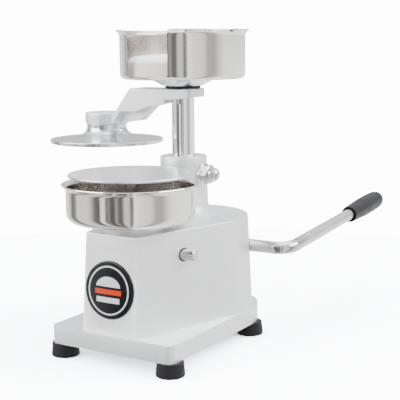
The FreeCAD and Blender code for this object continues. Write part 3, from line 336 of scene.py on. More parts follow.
def axes(tree, vector):
    """A vector's X, Y and Z sockets."""
    node = tree.nodes.new("ShaderNodeSeparateXYZ")
    tree.links.new(vector, node.inputs["Vector"])
    return node.outputs


def noise_node(tree, vector, scale, detail=3.0, roughness=0.5):
    node = tree.nodes.new("ShaderNodeTexNoise")
    node.inputs["Detail"].default_value = detail
    node.inputs["Roughness"].default_value = roughness
    tree.links.new(vector, node.inputs["Vector"])
    feed(tree, node.inputs["Scale"], scale)
    return node.outputs["Fac"]


def range_node(tree, value, low, high, to_low, to_high):
    node = tree.nodes.new("ShaderNodeMapRange")
    tree.links.new(value, node.inputs["Value"])
    for label, number in (("From Min", low), ("From Max", high), ("To Min", to_low), ("To Max", to_high)):
        feed(tree, node.inputs[label], number)
    return node.outputs["Result"]


def stretched(tree, vector, scale):
    node = tree.nodes.new("ShaderNodeMapping")
    node.inputs["Scale"].default_value = scale
    tree.links.new(vector, node.inputs["Vector"])
    return node.outputs["Vector"]


def make_grain_group():
    """Fine cast or moulded grain with a slow cloudiness over it."""
    group, start, end = new_group("Fine grain", (("Vector", "NodeSocketVector", None),
                                                 ("Scale", "NodeSocketFloat", 1600.0)),
                                  (("Height", "NodeSocketFloat"), ("Cloud", "NodeSocketFloat")))
    grain = noise_node(group, start.outputs["Vector"], start.outputs["Scale"], 4.0, 0.6)
    cloud = noise_node(group, start.outputs["Vector"], 38.0, 4.0, 0.55)
    group.links.new(grain, end.inputs["Height"])
    group.links.new(cloud, end.inputs["Cloud"])


def make_handling_group():
    """Smudges and light rubbing that lift the roughness in patches."""
    group, start, end = new_group("Handling marks", (("Vector", "NodeSocketVector", None),
                                                     ("Clean", "NodeSocketFloat", 0.1),
                                                     ("Rubbed", "NodeSocketFloat", 0.2)),
                                  (("Roughness", "NodeSocketFloat"),))
    broad = noise_node(group, start.outputs["Vector"], 24.0, 5.0, 0.6)
    fine = noise_node(group, start.outputs["Vector"], 210.0, 3.0, 0.5)
    mask = math_node(group, "MULTIPLY", broad, fine)
    mask = range_node(group, mask, 0.15, 0.36, 0.0, 1.0)
    rough = range_node(group, mask, 0.0, 1.0, start.outputs["Clean"], start.outputs["Rubbed"])
    group.links.new(rough, end.inputs["Roughness"])


def make_turning_group():
    """Fine rings left by turning, about an upright axis through the Centre."""
    group, start, end = new_group("Turning lines", (("Vector", "NodeSocketVector", None),
                                                    ("Centre", "NodeSocketVector", None),
                                                    ("Scale", "NodeSocketFloat", 900.0)),
                                  (("Height", "NodeSocketFloat"),))
    away = vector_node(group, "SUBTRACT", start.outputs["Vector"], start.outputs["Centre"])
    flat = vector_node(group, "MULTIPLY", away.outputs["Vector"], (1, 1, 0))
    radius = vector_node(group, "LENGTH", flat.outputs["Vector"])
    rings = group.nodes.new("ShaderNodeTexNoise")
    rings.noise_dimensions = "1D"
    rings.inputs["Detail"].default_value = 5.0
    group.links.new(radius.outputs["Value"], rings.inputs["W"])
    group.links.new(start.outputs["Scale"], rings.inputs["Scale"])
    group.links.new(rings.outputs["Fac"], end.inputs["Height"])


def use_group(tree, group_name, vector, **values):
    node = tree.nodes.new("ShaderNodeGroup")
    node.node_tree = bpy.data.node_groups[group_name]
    tree.links.new(vector, node.inputs["Vector"])
    for label, value in values.items():
        node.inputs[label].default_value = value
    return node


# ---------------------------------------------------------------- materials


def new_material(name, base, metallic, roughness):
    """A material with its Principled shader, and the Object coordinates that its patterns read."""
    material = bpy.data.materials.new(name)
    material.use_nodes = True
    tree = material.node_tree
    shader = next(n for n in tree.nodes if n.type == "BSDF_PRINCIPLED")
    shader.inputs["Base Color"].default_value = (*base, 1)
    shader.inputs["Metallic"].default_value = metallic
    shader.inputs["Roughness"].default_value = roughness
    place = tree.nodes.new("ShaderNodeTexCoord").outputs["Object"]
    return material, tree, shader, place


def bump(tree, shader, height, strength, distance):
    node = tree.nodes.new("ShaderNodeBump")
    node.inputs["Strength"].default_value = strength
    node.inputs["Distance"].default_value = distance
    tree.links.new(height, node.inputs["Height"])
    tree.links.new(node.outputs["Normal"], shader.inputs["Normal"])


def tint(tree, shader, mask, dark, light):
    """Base Color between two colours by a mask."""
    tree.links.new(mix_node(tree, mask, (*dark, 1), (*light, 1)), shader.inputs["Base Color"])


def rub(tree, shader, place, clean, rubbed):
    """Roughness from clean to rubbed, in patches."""
    marks = use_group(tree, "Handling marks", place, Clean=clean, Rubbed=rubbed)
    tree.links.new(marks.outputs["Roughness"], shader.inputs["Roughness"])


def shade(base, factor):
    return tuple(min(1.0, channel * factor) for channel in base)


def make_cast_aluminium():
    base = colours().aluminium
    material, tree, shader, place = new_material("cast_aluminium", base, 0.72, 0.45)
    grain = use_group(tree, "Fine grain", place, Scale=1500.0)
    rub(tree, shader, place, 0.40, 0.52)
    tint(tree, shader, grain.outputs["Cloud"], shade(base, 0.94), shade(base, 1.04))
    bump(tree, shader, grain.outputs["Height"], 0.10, 0.00012)
    return material


def make_turned_aluminium(name, centre, clean, rubbed):
    base = colours().plate
    material, tree, shader, place = new_material(name, base, 1.0, 0.3)
    rings = use_group(tree, "Turning lines", place, Centre=centre, Scale=2600.0)
    rub(tree, shader, place, clean, rubbed)
    tint(tree, shader, rings.outputs["Height"], shade(base, 0.93), shade(base, 1.05))
    bump(tree, shader, rings.outputs["Height"], 0.06, 0.00008)
    return material


def make_steel(name, base, clean, rubbed, line_scale, line_strength):
    """Stainless steel; the lines run round the piece, level with its rim."""
    material, tree, shader, place = new_material(name, base, 1.0, clean)
    lines = noise_node(tree, stretched(tree, place, (12.0, 12.0, line_scale)), 1.0, 4.0, 0.6)
    rub(tree, shader, place, clean, rubbed)
    tint(tree, shader, lines, shade(base, 0.96), shade(base, 1.04))
    bump(tree, shader, lines, line_strength, 0.00006)
    return material


def make_chrome():
    base = colours().chrome
    material, tree, shader, place = new_material("hard_chrome", base, 1.0, 0.06)
    rub(tree, shader, place, 0.045, 0.12)
    grain = use_group(tree, "Fine grain", place, Scale=420.0)
    tint(tree, shader, grain.outputs["Cloud"], shade(base, 0.97), shade(base, 1.02))
    bump(tree, shader, grain.outputs["Height"], 0.02, 0.00005)
    return material


def make_lever_steel(base):
    """Bright at the bend, satin along the arm; the arm's colour is also painted lighter than the bend's, a
    painted sheen.
    """
    material, tree, shader, place = new_material("lever_steel", base, 1.0, 0.2)
    parts = axes(tree, place)
    bend_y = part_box("lever_rod")[0].y
    along = range_node(tree, parts["Y"], bend_y + 20 * MM, bend_y + 38 * MM, 0.0, 1.0)
    lines = noise_node(tree, stretched(tree, place, (900.0, 30.0, 900.0)), 1.0, 3.0, 0.5)
    satin = range_node(tree, lines, 0.3, 0.7, 0.26, 0.36)
    rough = mix_node(tree, along, 0.13, satin, "FLOAT")
    tree.links.new(rough, shader.inputs["Roughness"])
    # painted sheen: the arm's colour is lighter than the bend's, standing in for the satin arm's brighter
    # look in the light
    tint(tree, shader, along, shade(base, 0.95), shade(base, 1.2))
    bump(tree, shader, lines, 0.04, 0.00005)
    return material


def make_rubber(name, base, rough_low, rough_high, scale):
    material, tree, shader, place = new_material(name, base, 0.0, rough_low)
    grain = use_group(tree, "Fine grain", place, Scale=scale)
    rub(tree, shader, place, rough_low, rough_high)
    shader.inputs["Specular IOR Level"].default_value = 0.2
    tint(tree, shader, grain.outputs["Cloud"], shade(base, 0.8), shade(base, 1.5))
    bump(tree, shader, grain.outputs["Height"], 0.15, 0.0001)
    return material


def make_zinc():
    shades = colours()
    material, tree, shader, place = new_material("zinc_steel", shades.zinc, 1.0, 0.34)
    grain = use_group(tree, "Fine grain", place, Scale=900.0)
    rub(tree, shader, place, 0.28, 0.44)
    tint(tree, shader, grain.outputs["Cloud"], shades.zinc_dark, shades.zinc_light)
    bump(tree, shader, grain.outputs["Height"], 0.08, 0.0001)
    return material


def make_paper():
    """White crinkled top and cream sides with the sheets' edges as fine level lines."""
    shades = colours()
    material, tree, shader, place = new_material("interleaf_paper", shades.paper, 0.0, 0.8)
    sheets = noise_node(tree, stretched(tree, place, (26.0, 26.0, 3200.0)), 1.0, 3.0, 0.6)
    crinkle = noise_node(tree, place, 95.0, 4.0, 0.6)
    parts = axes(tree, place)
    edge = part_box("paper_stack")[1].z - settings().paper_crown
    top = range_node(tree, parts["Z"], edge - 0.3 * MM, edge + 0.6 * MM, 0.0, 1.0)
    side = range_node(tree, sheets, 0.3, 0.7, 0.0, 0.35)
    tint(tree, shader, math_node(tree, "MAXIMUM", top, side), shades.paper_side, shades.paper)
    bump(tree, shader, math_node(tree, "ADD", sheets, crinkle), 0.35, 0.0004)
    return material


def make_badge_face(centre, radius, lean):
    """Black domed badge with a plain picture of a patty between two rounds in a thin ring."""
    shades = colours()
    material, tree, shader, place = new_material("badge_face", shades.badge, 0.0, 0.16)
    shader.inputs["Specular IOR Level"].default_value = 0.25
    shader.inputs["Coat Weight"].default_value = 0.22
    shader.inputs["Coat Roughness"].default_value = 0.06
    shift = vector_node(tree, "SUBTRACT", place, centre)
    turn = tree.nodes.new("ShaderNodeVectorRotate")
    turn.rotation_type = "X_AXIS"
    turn.inputs["Angle"].default_value = -lean
    tree.links.new(shift.outputs[0], turn.inputs["Vector"])
    parts = axes(tree, turn.outputs[0])
    across = math_node(tree, "DIVIDE", parts["X"], radius)
    up = math_node(tree, "DIVIDE", parts["Z"], radius)
    blur = 0.012

    def squared(value):
        return math_node(tree, "MULTIPLY", value, value)

    def inside(value, limit):
        return range_node(tree, value, limit - blur, limit + blur, 1.0, 0.0)

    def above(value, limit):
        return range_node(tree, value, limit - blur, limit + blur, 0.0, 1.0)

    def both(first, second):
        return math_node(tree, "MULTIPLY", first, second)

    def either(first, second):
        return math_node(tree, "MAXIMUM", first, second)

    away = math_node(tree, "SQRT", math_node(tree, "ADD", squared(across), squared(up)))
    ring = both(above(away, 0.78), inside(away, 0.83))
    wide = math_node(tree, "ABSOLUTE", across)
    dome_up = math_node(tree, "MULTIPLY", math_node(tree, "SUBTRACT", up, 0.10), 1.35)
    dome = math_node(tree, "SQRT", math_node(tree, "ADD", squared(across), squared(dome_up)))
    top_round = both(inside(dome, 0.50), above(up, 0.14))
    low_round = both(inside(wide, 0.47), both(above(up, -0.40), inside(up, -0.22)))
    patty = both(inside(wide, 0.54), both(above(up, -0.12), inside(up, 0.05)))
    pale = either(ring, either(top_round, low_round))
    marked = mix_node(tree, pale, (*shades.badge, 1), (*shades.badge_line, 1))
    marked = mix_node(tree, patty, marked, (*shades.badge_mark, 1))
    tree.links.new(marked, shader.inputs["Base Color"])
    rub(tree, shader, place, 0.14, 0.24)
    bump(tree, shader, either(pale, patty), 0.12, 0.0002)
    return material


def make_floor():
    """Plain floor that looks paler than the light it throws back on the press."""
    lit = (0.36, 0.37, 0.39)
    looked_at = (3.9, 4.0, 4.2)
    material, tree, shader, _ = new_material("studio_floor", (0.9, 0.9, 0.9), 0.0, 0.7)
    shader.inputs["Specular IOR Level"].default_value = 0.1
    seen = tree.nodes.new("ShaderNodeLightPath").outputs["Is Camera Ray"]
    tint(tree, shader, seen, lit, looked_at)
    return material


MATERIALS = {}


def make_materials():
    make_grain_group()
    make_handling_group()
    make_turning_group()
    shades = colours()
    MATERIALS["cast"] = make_cast_aluminium()
    MATERIALS["ejector"] = make_turned_aluminium("turned_ejector", middle("ejector_plate"), 0.26, 0.36)
    MATERIALS["plate"] = make_turned_aluminium("turned_plate", middle("press_plate"), 0.20, 0.30)
    MATERIALS["cone"] = make_turned_aluminium("turned_cone", middle("hopper_cone"), 0.12, 0.22)
    MATERIALS["mirror"] = make_steel("mirror_steel", shades.steel, 0.05, 0.11, 500.0, 0.02)
    # painted shade inside: a darker, browner copy of the steel, on top of its real brush grain
    MATERIALS["brushed"] = make_steel("brushed_steel", shades.brushed, 0.20, 0.28, 5200.0, 0.03)
    MATERIALS["fixing"] = make_steel("fixing_steel", shades.fixing, 0.10, 0.22, 900.0, 0.03)
    MATERIALS["chrome"] = make_chrome()
    # painted shade: a dark brown steel for the faces inside the groove
    MATERIALS["groove"] = make_steel("groove_steel", shades.groove, 0.28, 0.40, 60.0, 0.05)
    MATERIALS["lever"] = make_lever_steel(shades.fixing)
    MATERIALS["foot"] = make_rubber("foot_rubber", shades.rubber, 0.5, 0.68, 1400.0)
    MATERIALS["grip"] = make_rubber("grip_sleeve", shades.grip, 0.34, 0.5, 2200.0)
    MATERIALS["nylon"] = make_rubber("black_nylon", shades.nylon, 0.4, 0.55, 1600.0)
    MATERIALS["zinc"] = make_zinc()
    MATERIALS["paper"] = make_paper()


NODE_FINISHES = {
    "cast": ("base_casting", "arm"),
    "zinc": ("foot_screws", "foot_washers", "post_keeper", "keeper_screw", "bridge_screws", "crank_screw",
             "plate_screw", "hopper_screw", "brake_screw", "rod_collar", "crosshead", "lifting_bridge",
             "crank", "crank_pins"),
    "brushed": ("bowl_nut", "ejector_rod", "mould_bowl", "hopper"),
    "fixing": ("jam_nut", "cap_nut", "stop_pin"),
    "chrome": ("post",),
    "lever": ("lever_rod",),
    "ejector": ("ejector_plate",),
    "plate": ("press_plate",),
    "cone": ("hopper_cone",),
    "nylon": ("spacer_washer", "brake_pad", "shaft_bushes"),
    "grip": ("grip",),
    "foot": FEET,
    "paper": ("paper_stack",),
}


def finish_nodes():
    """Give every carried-over CAD node its finish."""
    for finish, nodes in NODE_FINISHES.items():
        for node in nodes:
            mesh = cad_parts[node].data
            mesh.materials.clear()
            mesh.materials.append(MATERIALS[finish])


# ---------------------------------------------------------------- pieces


def make_casting():
    """Casting with the base plate's outer edges and the neck's top edge rounded."""
    piece = copy_node("base_casting", "casting_softened", joined=False)
    width = settings().edge_round
    low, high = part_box("base_casting")
    side = 45 * MM
    front = low.y + 6 * MM
    rear = high.y - 40 * MM

    def outer_edge(edge):
        level = all(v.co.z < PLATE_TOP + 0.2 * MM for v in edge.verts)
        outside = all(abs(v.co.x) > side or v.co.y < front or v.co.y > rear for v in edge.verts)
        flat = abs(edge.verts[0].co.z - edge.verts[1].co.z) < 0.05 * MM
        wall = any(abs(abs(f.normal.z) - 1) > 0.5 for f in edge.link_faces)
        return level and outside and flat and wall

    soften(piece, width, outer_edge)
    soften(piece, width, lambda e: all(abs(v.co.z - high.z) < 0.02 * MM for v in e.verts))
    smooth(piece, even=False)
    finish_piece(piece, "stand", ["base_casting"], MATERIALS["cast"])


def make_post():
    """Chromed post; the faces inside its groove get a dark brown steel, painted shade inside the slot."""
    piece = copy_node("post", "post_chromed")
    axis = middle("post")
    radius = half_width("post")
    foot, top = GROOVE_LEVELS
    piece.data.materials.append(MATERIALS["chrome"])
    # second slot: dark brown steel, painted shade inside the groove
    piece.data.materials.append(MATERIALS["groove"])
    for face in piece.data.polygons:
        away = Vector((face.center.x - axis.x, face.center.y - axis.y, 0))
        across = abs(face.normal.z) < 0.5
        inside = away.length < radius * 0.97 and foot < face.center.z < top
        outward = away.length > 0 and face.normal.dot(away.normalized()) > 0.999
        face.material_index = 1 if inside and across and not outward else 0
    smooth(piece, 30, even=False)
    finish_piece(piece, "post", ["post"], None)


def make_lever():
    """Bent rod: a ring drawn along the cross shaft, spun round the bend and drawn out along the arm."""
    sizes = settings()
    radius = sizes.rod_radius
    bend = sizes.rod_bend
    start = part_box("lever_rod")[0].x
    arm_x = middle("grip").x
    bpy.ops.object.select_all(action="DESELECT")
    bpy.ops.mesh.primitive_circle_add(vertices=64, radius=radius, fill_type="NOTHING",
                                      location=(start, 0, 0), rotation=(0, math.pi / 2, 0))
    rod = bpy.context.object
    rod.name = "lever_bent"
    apply_place(rod)
    open_mesh(rod)
    bpy.ops.mesh.select_all(action="SELECT")
    bpy.ops.mesh.extrude_region_move(TRANSFORM_OT_translate={"value": (arm_x - bend - start, 0, 0)})
    bpy.ops.mesh.spin(steps=24, angle=math.pi / 2, center=(arm_x - bend, bend, 0), axis=(0, 0, -1))
    bpy.ops.mesh.extrude_region_move(TRANSFORM_OT_translate={"value": (0, sizes.rod_reach - bend, 0)})
    bpy.ops.mesh.select_all(action="SELECT")
    bpy.ops.mesh.remove_doubles(threshold=2e-6)
    bpy.ops.mesh.select_all(action="SELECT")
    bpy.ops.mesh.fill_holes(sides=80)
    bpy.ops.mesh.select_all(action="SELECT")
    bpy.ops.mesh.normals_make_consistent(inside=False)
    close_mesh()
    put(rod, SHAFT, (ARM_RISE, 0, 0))
    smooth(rod, 40)
    finish_piece(rod, "lever", ["lever_rod"], MATERIALS["lever"])


def spin_shell(name, node, hole, lip, foot, flare, bend, steps=None):
    """Spun sheet with a rounded foot and a flared lip; gives the piece and its wall's radius."""
    low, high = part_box(node)
    rim = half_width(node)
    wall = rim - lip
    sheet = settings().bowl_sheet
    outline = [(hole, low.z, 0), (wall, low.z, foot), (wall, high.z - flare, bend),
               (rim - 0.4 * MM, high.z - 0.9 * MM, 0), (rim, high.z - 0.5 * MM, 0),
               (rim - 0.2 * MM, high.z, 0), (rim - 1.0 * MM, high.z, 0),
               (wall - sheet, high.z - flare + 0.6 * MM, 1.0 * MM),
               (wall - sheet, low.z + sheet, foot - sheet), (hole, low.z + sheet, 0)]
    return turned(name, outline, closed=True, steps=steps), wall


def make_bowl():
    """Spun bowl with a flared lip; bright outside, and inside a darker, browner steel: real brush grain
    with painted shade.
    """
    sizes = settings()
    piece, wall = spin_shell("bowl_spun", "mould_bowl", 8.3 * MM, sizes.bowl_lip, sizes.bowl_foot,
                             3.2 * MM, 1.5 * MM)
    split_inside(piece, wall - sizes.bowl_sheet / 2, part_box("mould_bowl")[1].z)
    put(piece, (0, middle("mould_bowl").y, 0))
    smooth(piece, 40)
    finish_piece(piece, "stand", ["mould_bowl"], None)


def split_inside(piece, radius, top):
    """Second material, darker and browner as painted shade, on the faces that look towards the axis or up
    from the floor.
    """
    piece.data.materials.clear()
    piece.data.materials.append(MATERIALS["mirror"])
    piece.data.materials.append(MATERIALS["brushed"])
    for face in piece.data.polygons:
        away = Vector((face.center.x, face.center.y, 0))
        inward = away.length > 1e-6 and face.normal.dot(away.normalized()) < -0.05
        floor = face.normal.z > 0.3 and away.length < radius and face.center.z < top - 4 * MM
        # these faces get the darker inside steel, painted shade
        face.material_index = 1 if inward or floor else 0


def make_cutter(wall, floor, top):
    """Block for the holder's cut-out, rounded at its lower corners and flared at its upper ones."""
    sizes = settings()
    half = sizes.cut_half
    tall = top - floor
    bpy.ops.object.select_all(action="DESELECT")
    bpy.ops.mesh.primitive_cube_add(size=1, location=(0, -wall, floor + tall / 2))
    cutter = bpy.context.object
    cutter.scale = (2 * half, wall, tall)
    apply_place(cutter)
    open_mesh(cutter, "EDGE")
    pick(cutter, "edges", lambda e: all(v.co.z < floor + MM for v in e.verts)
         and abs(e.verts[0].co.x - e.verts[1].co.x) < MM)
    bpy.ops.mesh.bevel(offset=2 * MM, segments=5, affect="EDGES")
    pick(cutter, "faces", lambda f: f.normal.z > 0.9)
    corner = sizes.cut_corner
    bpy.ops.transform.translate(value=(0, 0, -corner))
    for turn in range(1, 7):
        angle = turn * math.pi / 12
        before = (turn - 1) * math.pi / 12
        rise = corner * (math.sin(angle) - math.sin(before))
        spread = half + corner * (1 - math.cos(angle))
        last = half + corner * (1 - math.cos(before))
        bpy.ops.mesh.extrude_region_move(TRANSFORM_OT_translate={"value": (0, 0, rise)})
        bpy.ops.transform.resize(value=(spread / last, 1, 1), center_override=(0, 0, 0))
    bpy.ops.mesh.extrude_region_move(TRANSFORM_OT_translate={"value": (0, 0, 3 * MM)})
    bpy.ops.mesh.select_all(action="SELECT")
    bpy.ops.mesh.normals_make_consistent(inside=False)
    close_mesh()
    return cutter


def make_holder():
    """Spun paper holder with a tall cut-out whose upper corners are rounded out into the rim."""
    sizes = settings()
    low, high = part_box("hopper")
    piece, wall = spin_shell("holder_spun", "hopper", 3.2 * MM, sizes.holder_lip, sizes.holder_foot,
                             3.4 * MM, 1.6 * MM, steps=160)
    cutter = make_cutter(wall, low.z + sizes.cut_floor, high.z)
    add_modifier(piece, "BOOLEAN", object=cutter, operation="DIFFERENCE", solver="EXACT")
    bpy.data.objects.remove(cutter)
    split_inside(piece, wall - sizes.bowl_sheet / 2, high.z)
    put(piece, (0, middle("post").y, 0), (0, 0, HOLDER_TURN))
    smooth(piece, 40)
    finish_piece(piece, "post", ["hopper"], None)


def make_paper_stack():
    """Stack with a crowned top and a well underneath for the holder's screw."""
    low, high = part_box("paper_stack")
    radius = half_width("paper_stack")
    well = 7.6 * MM
    well_top = low.z + 4.6 * MM
    crown = settings().paper_crown
    outline = [(0, high.z, 0), (radius * 0.55, high.z - 0.06 * crown, 5 * MM),
               (radius * 0.92, high.z - 0.36 * crown, 3 * MM), (radius, high.z - crown, 0.5 * MM),
               (radius, low.z, 0.3 * MM), (well, low.z, 0), (well, well_top, 0), (0, well_top, 0)]
    piece = turned("paper_stack_crowned", outline)
    put(piece, (0, middle("post").y, 0))
    smooth(piece, 50)
    finish_piece(piece, "paper", ["paper_stack"], MATERIALS["paper"])


def make_plate():
    """Turned plate whose flared hub rises to the arm."""
    low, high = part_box("press_plate")
    radius = half_width("press_plate")
    z = low.z
    bore = 4.0 * MM
    neck = 17.6 * MM
    outline = [(bore, z + 4.0 * MM, 0), (8.0 * MM, z, 0), (radius, z, 0.5 * MM),
               (radius, z + 3.3 * MM, 0.6 * MM), (28 * MM, z + 5.6 * MM, 3 * MM),
               (neck + 2.6 * MM, z + 7.6 * MM, 2.6 * MM), (neck, z + 11.6 * MM, 2.2 * MM),
               (neck, high.z - 0.2 * MM, 0.4 * MM), (bore, high.z - 0.2 * MM, 0)]
    piece = turned("plate_turned", outline, closed=True)
    centre = middle("press_plate")
    put(piece, (centre.x, centre.y, 0))
    smooth(piece, 40)
    finish_piece(piece, "post", ["press_plate"], MATERIALS["plate"])


def make_ejector():
    """Flat turned plate with a socket underneath for its rod."""
    low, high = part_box("ejector_plate")
    radius = half_width("ejector_plate")
    socket = 3 * MM
    outline = [(0, high.z, 0), (radius, high.z, 0.6 * MM), (radius, low.z, 0.9 * MM), (5 * MM, low.z, 0),
               (socket, low.z, 0), (socket, low.z + 1.2 * MM, 0), (0, low.z + 1.2 * MM, 0)]
    piece = turned("ejector_turned", outline)
    put(piece, (0, middle("ejector_plate").y, 0))
    smooth(piece, 30)
    finish_piece(piece, "ejector", ["ejector_plate"], MATERIALS["ejector"])


def make_feet():
    """One foot, copied to the four corners, each with a mesh of its own."""
    radius = half_width(FEET[0])
    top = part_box(FEET[0])[1].z
    well = 5.6 * MM
    bore = 2.5 * MM
    step = 6.0 * MM
    outline = [(well, 0, 0.4 * MM), (radius, 0, 1.2 * MM), (radius - 1.1 * MM, top, 0.3 * MM),
               (bore, top, 0), (bore, step, 0), (well, step, 0)]
    first = turned("foot_moulded", outline, closed=True, steps=64)
    smooth(first, 40)
    for node in FEET:
        mesh = first.data.copy()
        foot = bpy.data.objects.new(node + "_moulded", mesh)
        bpy.context.scene.collection.objects.link(foot)
        centre = middle(node)
        put(foot, (centre.x, centre.y, 0))
        finish_piece(foot, "stand", [node], MATERIALS["foot"])
    bpy.data.objects.remove(first)


def make_badge():
    """Domed badge, turned flat and leant against the column's front."""
    low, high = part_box("badge_disc")
    radius = half_width("badge_disc")
    outline = [(0, 2.6 * MM, 0), (radius * 0.5, 2.3 * MM, 6 * MM), (radius - 0.3 * MM, 1.3 * MM, 0.8 * MM),
               (radius, 0, 0), (0, 0, 0)]
    piece = turned("badge_domed", outline)
    lean = math.atan2(*BADGE_SLOPE)
    back = high.y - radius * math.sin(lean)
    put(piece, (0, back, (low.z + high.z) / 2), (math.pi / 2 - lean, 0, 0))
    smooth(piece, 40)
    material = make_badge_face(middle("badge_disc"), radius, lean)
    finish_piece(piece, "stand", ["badge_disc"], material)


def make_grip():
    """Sleeve with an open mouth, a gentle swell and a rounded end, lying along the lever's arm."""
    end = GRIP_LENGTH
    start = Vector((middle("grip").x, SHAFT.y + GRIP_START * math.cos(ARM_RISE),
                    SHAFT.z + GRIP_START * math.sin(ARM_RISE)))
    outline = [(5.42 * MM, 6 * MM, 0), (6.3 * MM, 5.5 * MM, 0.3 * MM), (6.5 * MM, 0, 0.4 * MM),
               (7.7 * MM, 0, 0.5 * MM), (8.6 * MM, end * 0.24, 5 * MM), (9.25 * MM, end * 0.5, 8 * MM),
               (9.2 * MM, end * 0.76, 8 * MM), (8.75 * MM, end - 5.5 * MM, 3 * MM),
               (7.4 * MM, end - 1.0 * MM, 1.6 * MM), (4.2 * MM, end, 1.8 * MM), (0, end, 0)]
    piece = turned("grip_sleeve", outline, steps=64)
    put(piece, start, (ARM_RISE - math.pi / 2, 0, 0))
    smooth(piece, 50)
    finish_piece(piece, "lever", ["grip"], MATERIALS["grip"])


def make_nuts():
    """Jam nut and domed nut on the brake stud, chamfered hexagons turned on their axis."""
    for node, dome in (("jam_nut", False), ("cap_nut", True)):
        low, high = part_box(node)
        flats = high.y - low.y
        thick = (high.x - low.x) if not dome else 5.4 * MM
        bpy.ops.object.select_all(action="DESELECT")
        bpy.ops.mesh.primitive_cylinder_add(vertices=6, radius=flats / math.sqrt(3), depth=thick,
                                            location=(0, 0, thick / 2))
        nut = bpy.context.object
        nut.name = node + "_chamfered"
        apply_place(nut)
        bpy.ops.object.select_all(action="DESELECT")
        bpy.ops.mesh.primitive_cone_add(vertices=96, radius1=flats / 2 + 3.2 * thick,
                                        radius2=flats / 2 * 0.94, depth=2 * thick, location=(0, 0, 0))
        chamfer = bpy.context.object
        add_modifier(nut, "BOOLEAN", object=chamfer, operation="INTERSECT", solver="EXACT")
        bpy.data.objects.remove(chamfer)
        if dome:
            r = 6.2 * MM
            top = thick + r + 1.2 * MM
            foot = thick - 0.5 * MM
            cap = turned("dome", [(0, top, 0), (r, top, r * 0.98), (r, foot, 0), (0, foot, 0)], steps=64)
            take(nut)
            cap.select_set(True)
            bpy.ops.object.join()
        put(nut, (low.x, middle(node).y, middle(node).z), (0, math.pi / 2, 0))
        smooth(nut, 30)
        finish_piece(nut, "stand", [node], MATERIALS["fixing"])


def make_arm():
    """Cast arm, its remaining sharp outer edges lightly rounded."""
    piece = copy_node("arm", "arm_softened")
    low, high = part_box("arm")
    soften(piece, settings().edge_round / 2,
           lambda e: all(v.co.z < low.z + 0.05 * MM for v in e.verts)
           or all(v.co.z > high.z - 0.05 * MM for v in e.verts))
    smooth(piece, 32, even=False)
    finish_piece(piece, "post", ["arm"], MATERIALS["cast"])


# ---------------------------------------------------------------- stage


def make_world():
    """White to the eye; the steel mirrors a pale room with a few darker uprights in it."""
    world = bpy.data.worlds.new("studio")
    bpy.context.scene.world = world
    world.use_nodes = True
    tree = world.node_tree
    tree.nodes.clear()
    place = tree.nodes.new("ShaderNodeTexCoord").outputs["Generated"]
    parts = axes(tree, place)
    angle = math_node(tree, "ARCTAN2", parts["Y"], parts["X"])
    turn = range_node(tree, angle, -math.pi, math.pi, 0.0, 1.0)
    ramp = tree.nodes.new("ShaderNodeValToRGB")
    tree.links.new(turn, ramp.inputs["Fac"])
    stops = ramp.color_ramp.elements
    while len(stops) > 1:
        stops.remove(stops[-1])
    for index, (degrees, level) in enumerate(ROOM_BANDS):
        stop = stops[0] if index == 0 else stops.new((degrees + 180) / 360)
        warm = 0.93 if level < 0.3 else 1.0
        stop.color = (level, level * (1 + warm) / 2, level * warm, 1)
    behind = range_node(tree, parts["Y"], 0.1, 0.5, 1.0, 0.45)
    level = range_node(tree, parts["Z"], -0.03, 0.06, 0.0, 1.0)
    wall = range_node(tree, level, 0.0, 1.0, 1.0, behind)
    high = range_node(tree, parts["Z"], 0.40, 0.72, 0.0, 1.0)
    room = vector_node(tree, "SCALE", ramp.outputs["Color"])
    tree.links.new(wall, room.inputs["Scale"])
    ceiling = (0.70, 0.725, 0.76, 1)
    overhead = mix_node(tree, high, room.outputs["Vector"], ceiling)
    seen = tree.nodes.new("ShaderNodeLightPath").outputs["Is Camera Ray"]
    strength = range_node(tree, seen, 0.0, 1.0, settings().room_light, settings().backdrop)
    shown = mix_node(tree, seen, overhead, (1, 1, 1, 1))
    ground = tree.nodes.new("ShaderNodeBackground")
    tree.links.new(shown, ground.inputs["Color"])
    tree.links.new(strength, ground.inputs["Strength"])
    out = tree.nodes.new("ShaderNodeOutputWorld")
    tree.links.new(ground.outputs["Background"], out.inputs["Surface"])


def add_area(name, place, target, size, power):
    """Rectangular lamp at a place, facing the target."""
    light = bpy.data.lights.new(name, "AREA")
    light.shape = "RECTANGLE"
    light.size, light.size_y = size
    light.energy = power
    lamp = bpy.data.objects.new(name, light)
    bpy.context.scene.collection.objects.link(lamp)
    lamp.location = place
    lamp.rotation_euler = (Vector(target) - Vector(place)).to_track_quat("-Z", "Y").to_euler()


def make_stage():
    """Floor, room, three lamps and the camera."""
    bpy.ops.object.select_all(action="DESELECT")
    bpy.ops.mesh.primitive_circle_add(vertices=160, radius=settings().floor_size, fill_type="NGON")
    floor = bpy.context.object
    floor.name = "studio_floor"
    floor.data.materials.append(make_floor())
    floor.visible_glossy = False
    make_world()
    target = (0, 0.03, 0.12)
    add_area("key_left", (-1.0, -1.2, 0.85), target, (1.5, 1.1), 42.0)
    add_area("fill_right", (1.3, 0.5, 1.05), target, (1.4, 0.8), 32.0)
    add_area("top_soft", (0.1, 0.3, 1.5), target, (1.2, 1.2), 16.0)
    camera_data = bpy.data.cameras.new("camera")
    camera_data.sensor_width = 36
    camera_data.lens = 86.84
    camera = bpy.data.objects.new("camera", camera_data)
    bpy.context.scene.collection.objects.link(camera)
    place = Vector((437.2, -649.9, 247.8)) * MM
    look = Vector((28.5, 18.1, 121.7)) * MM
    facing = (look - place).to_track_quat("-Z", "Y").to_matrix().to_4x4()
    roll = Matrix.Rotation(math.radians(-0.426), 4, "Z")
    camera.matrix_world = Matrix.Translation(place) @ facing @ roll
    bpy.context.scene.camera = camera


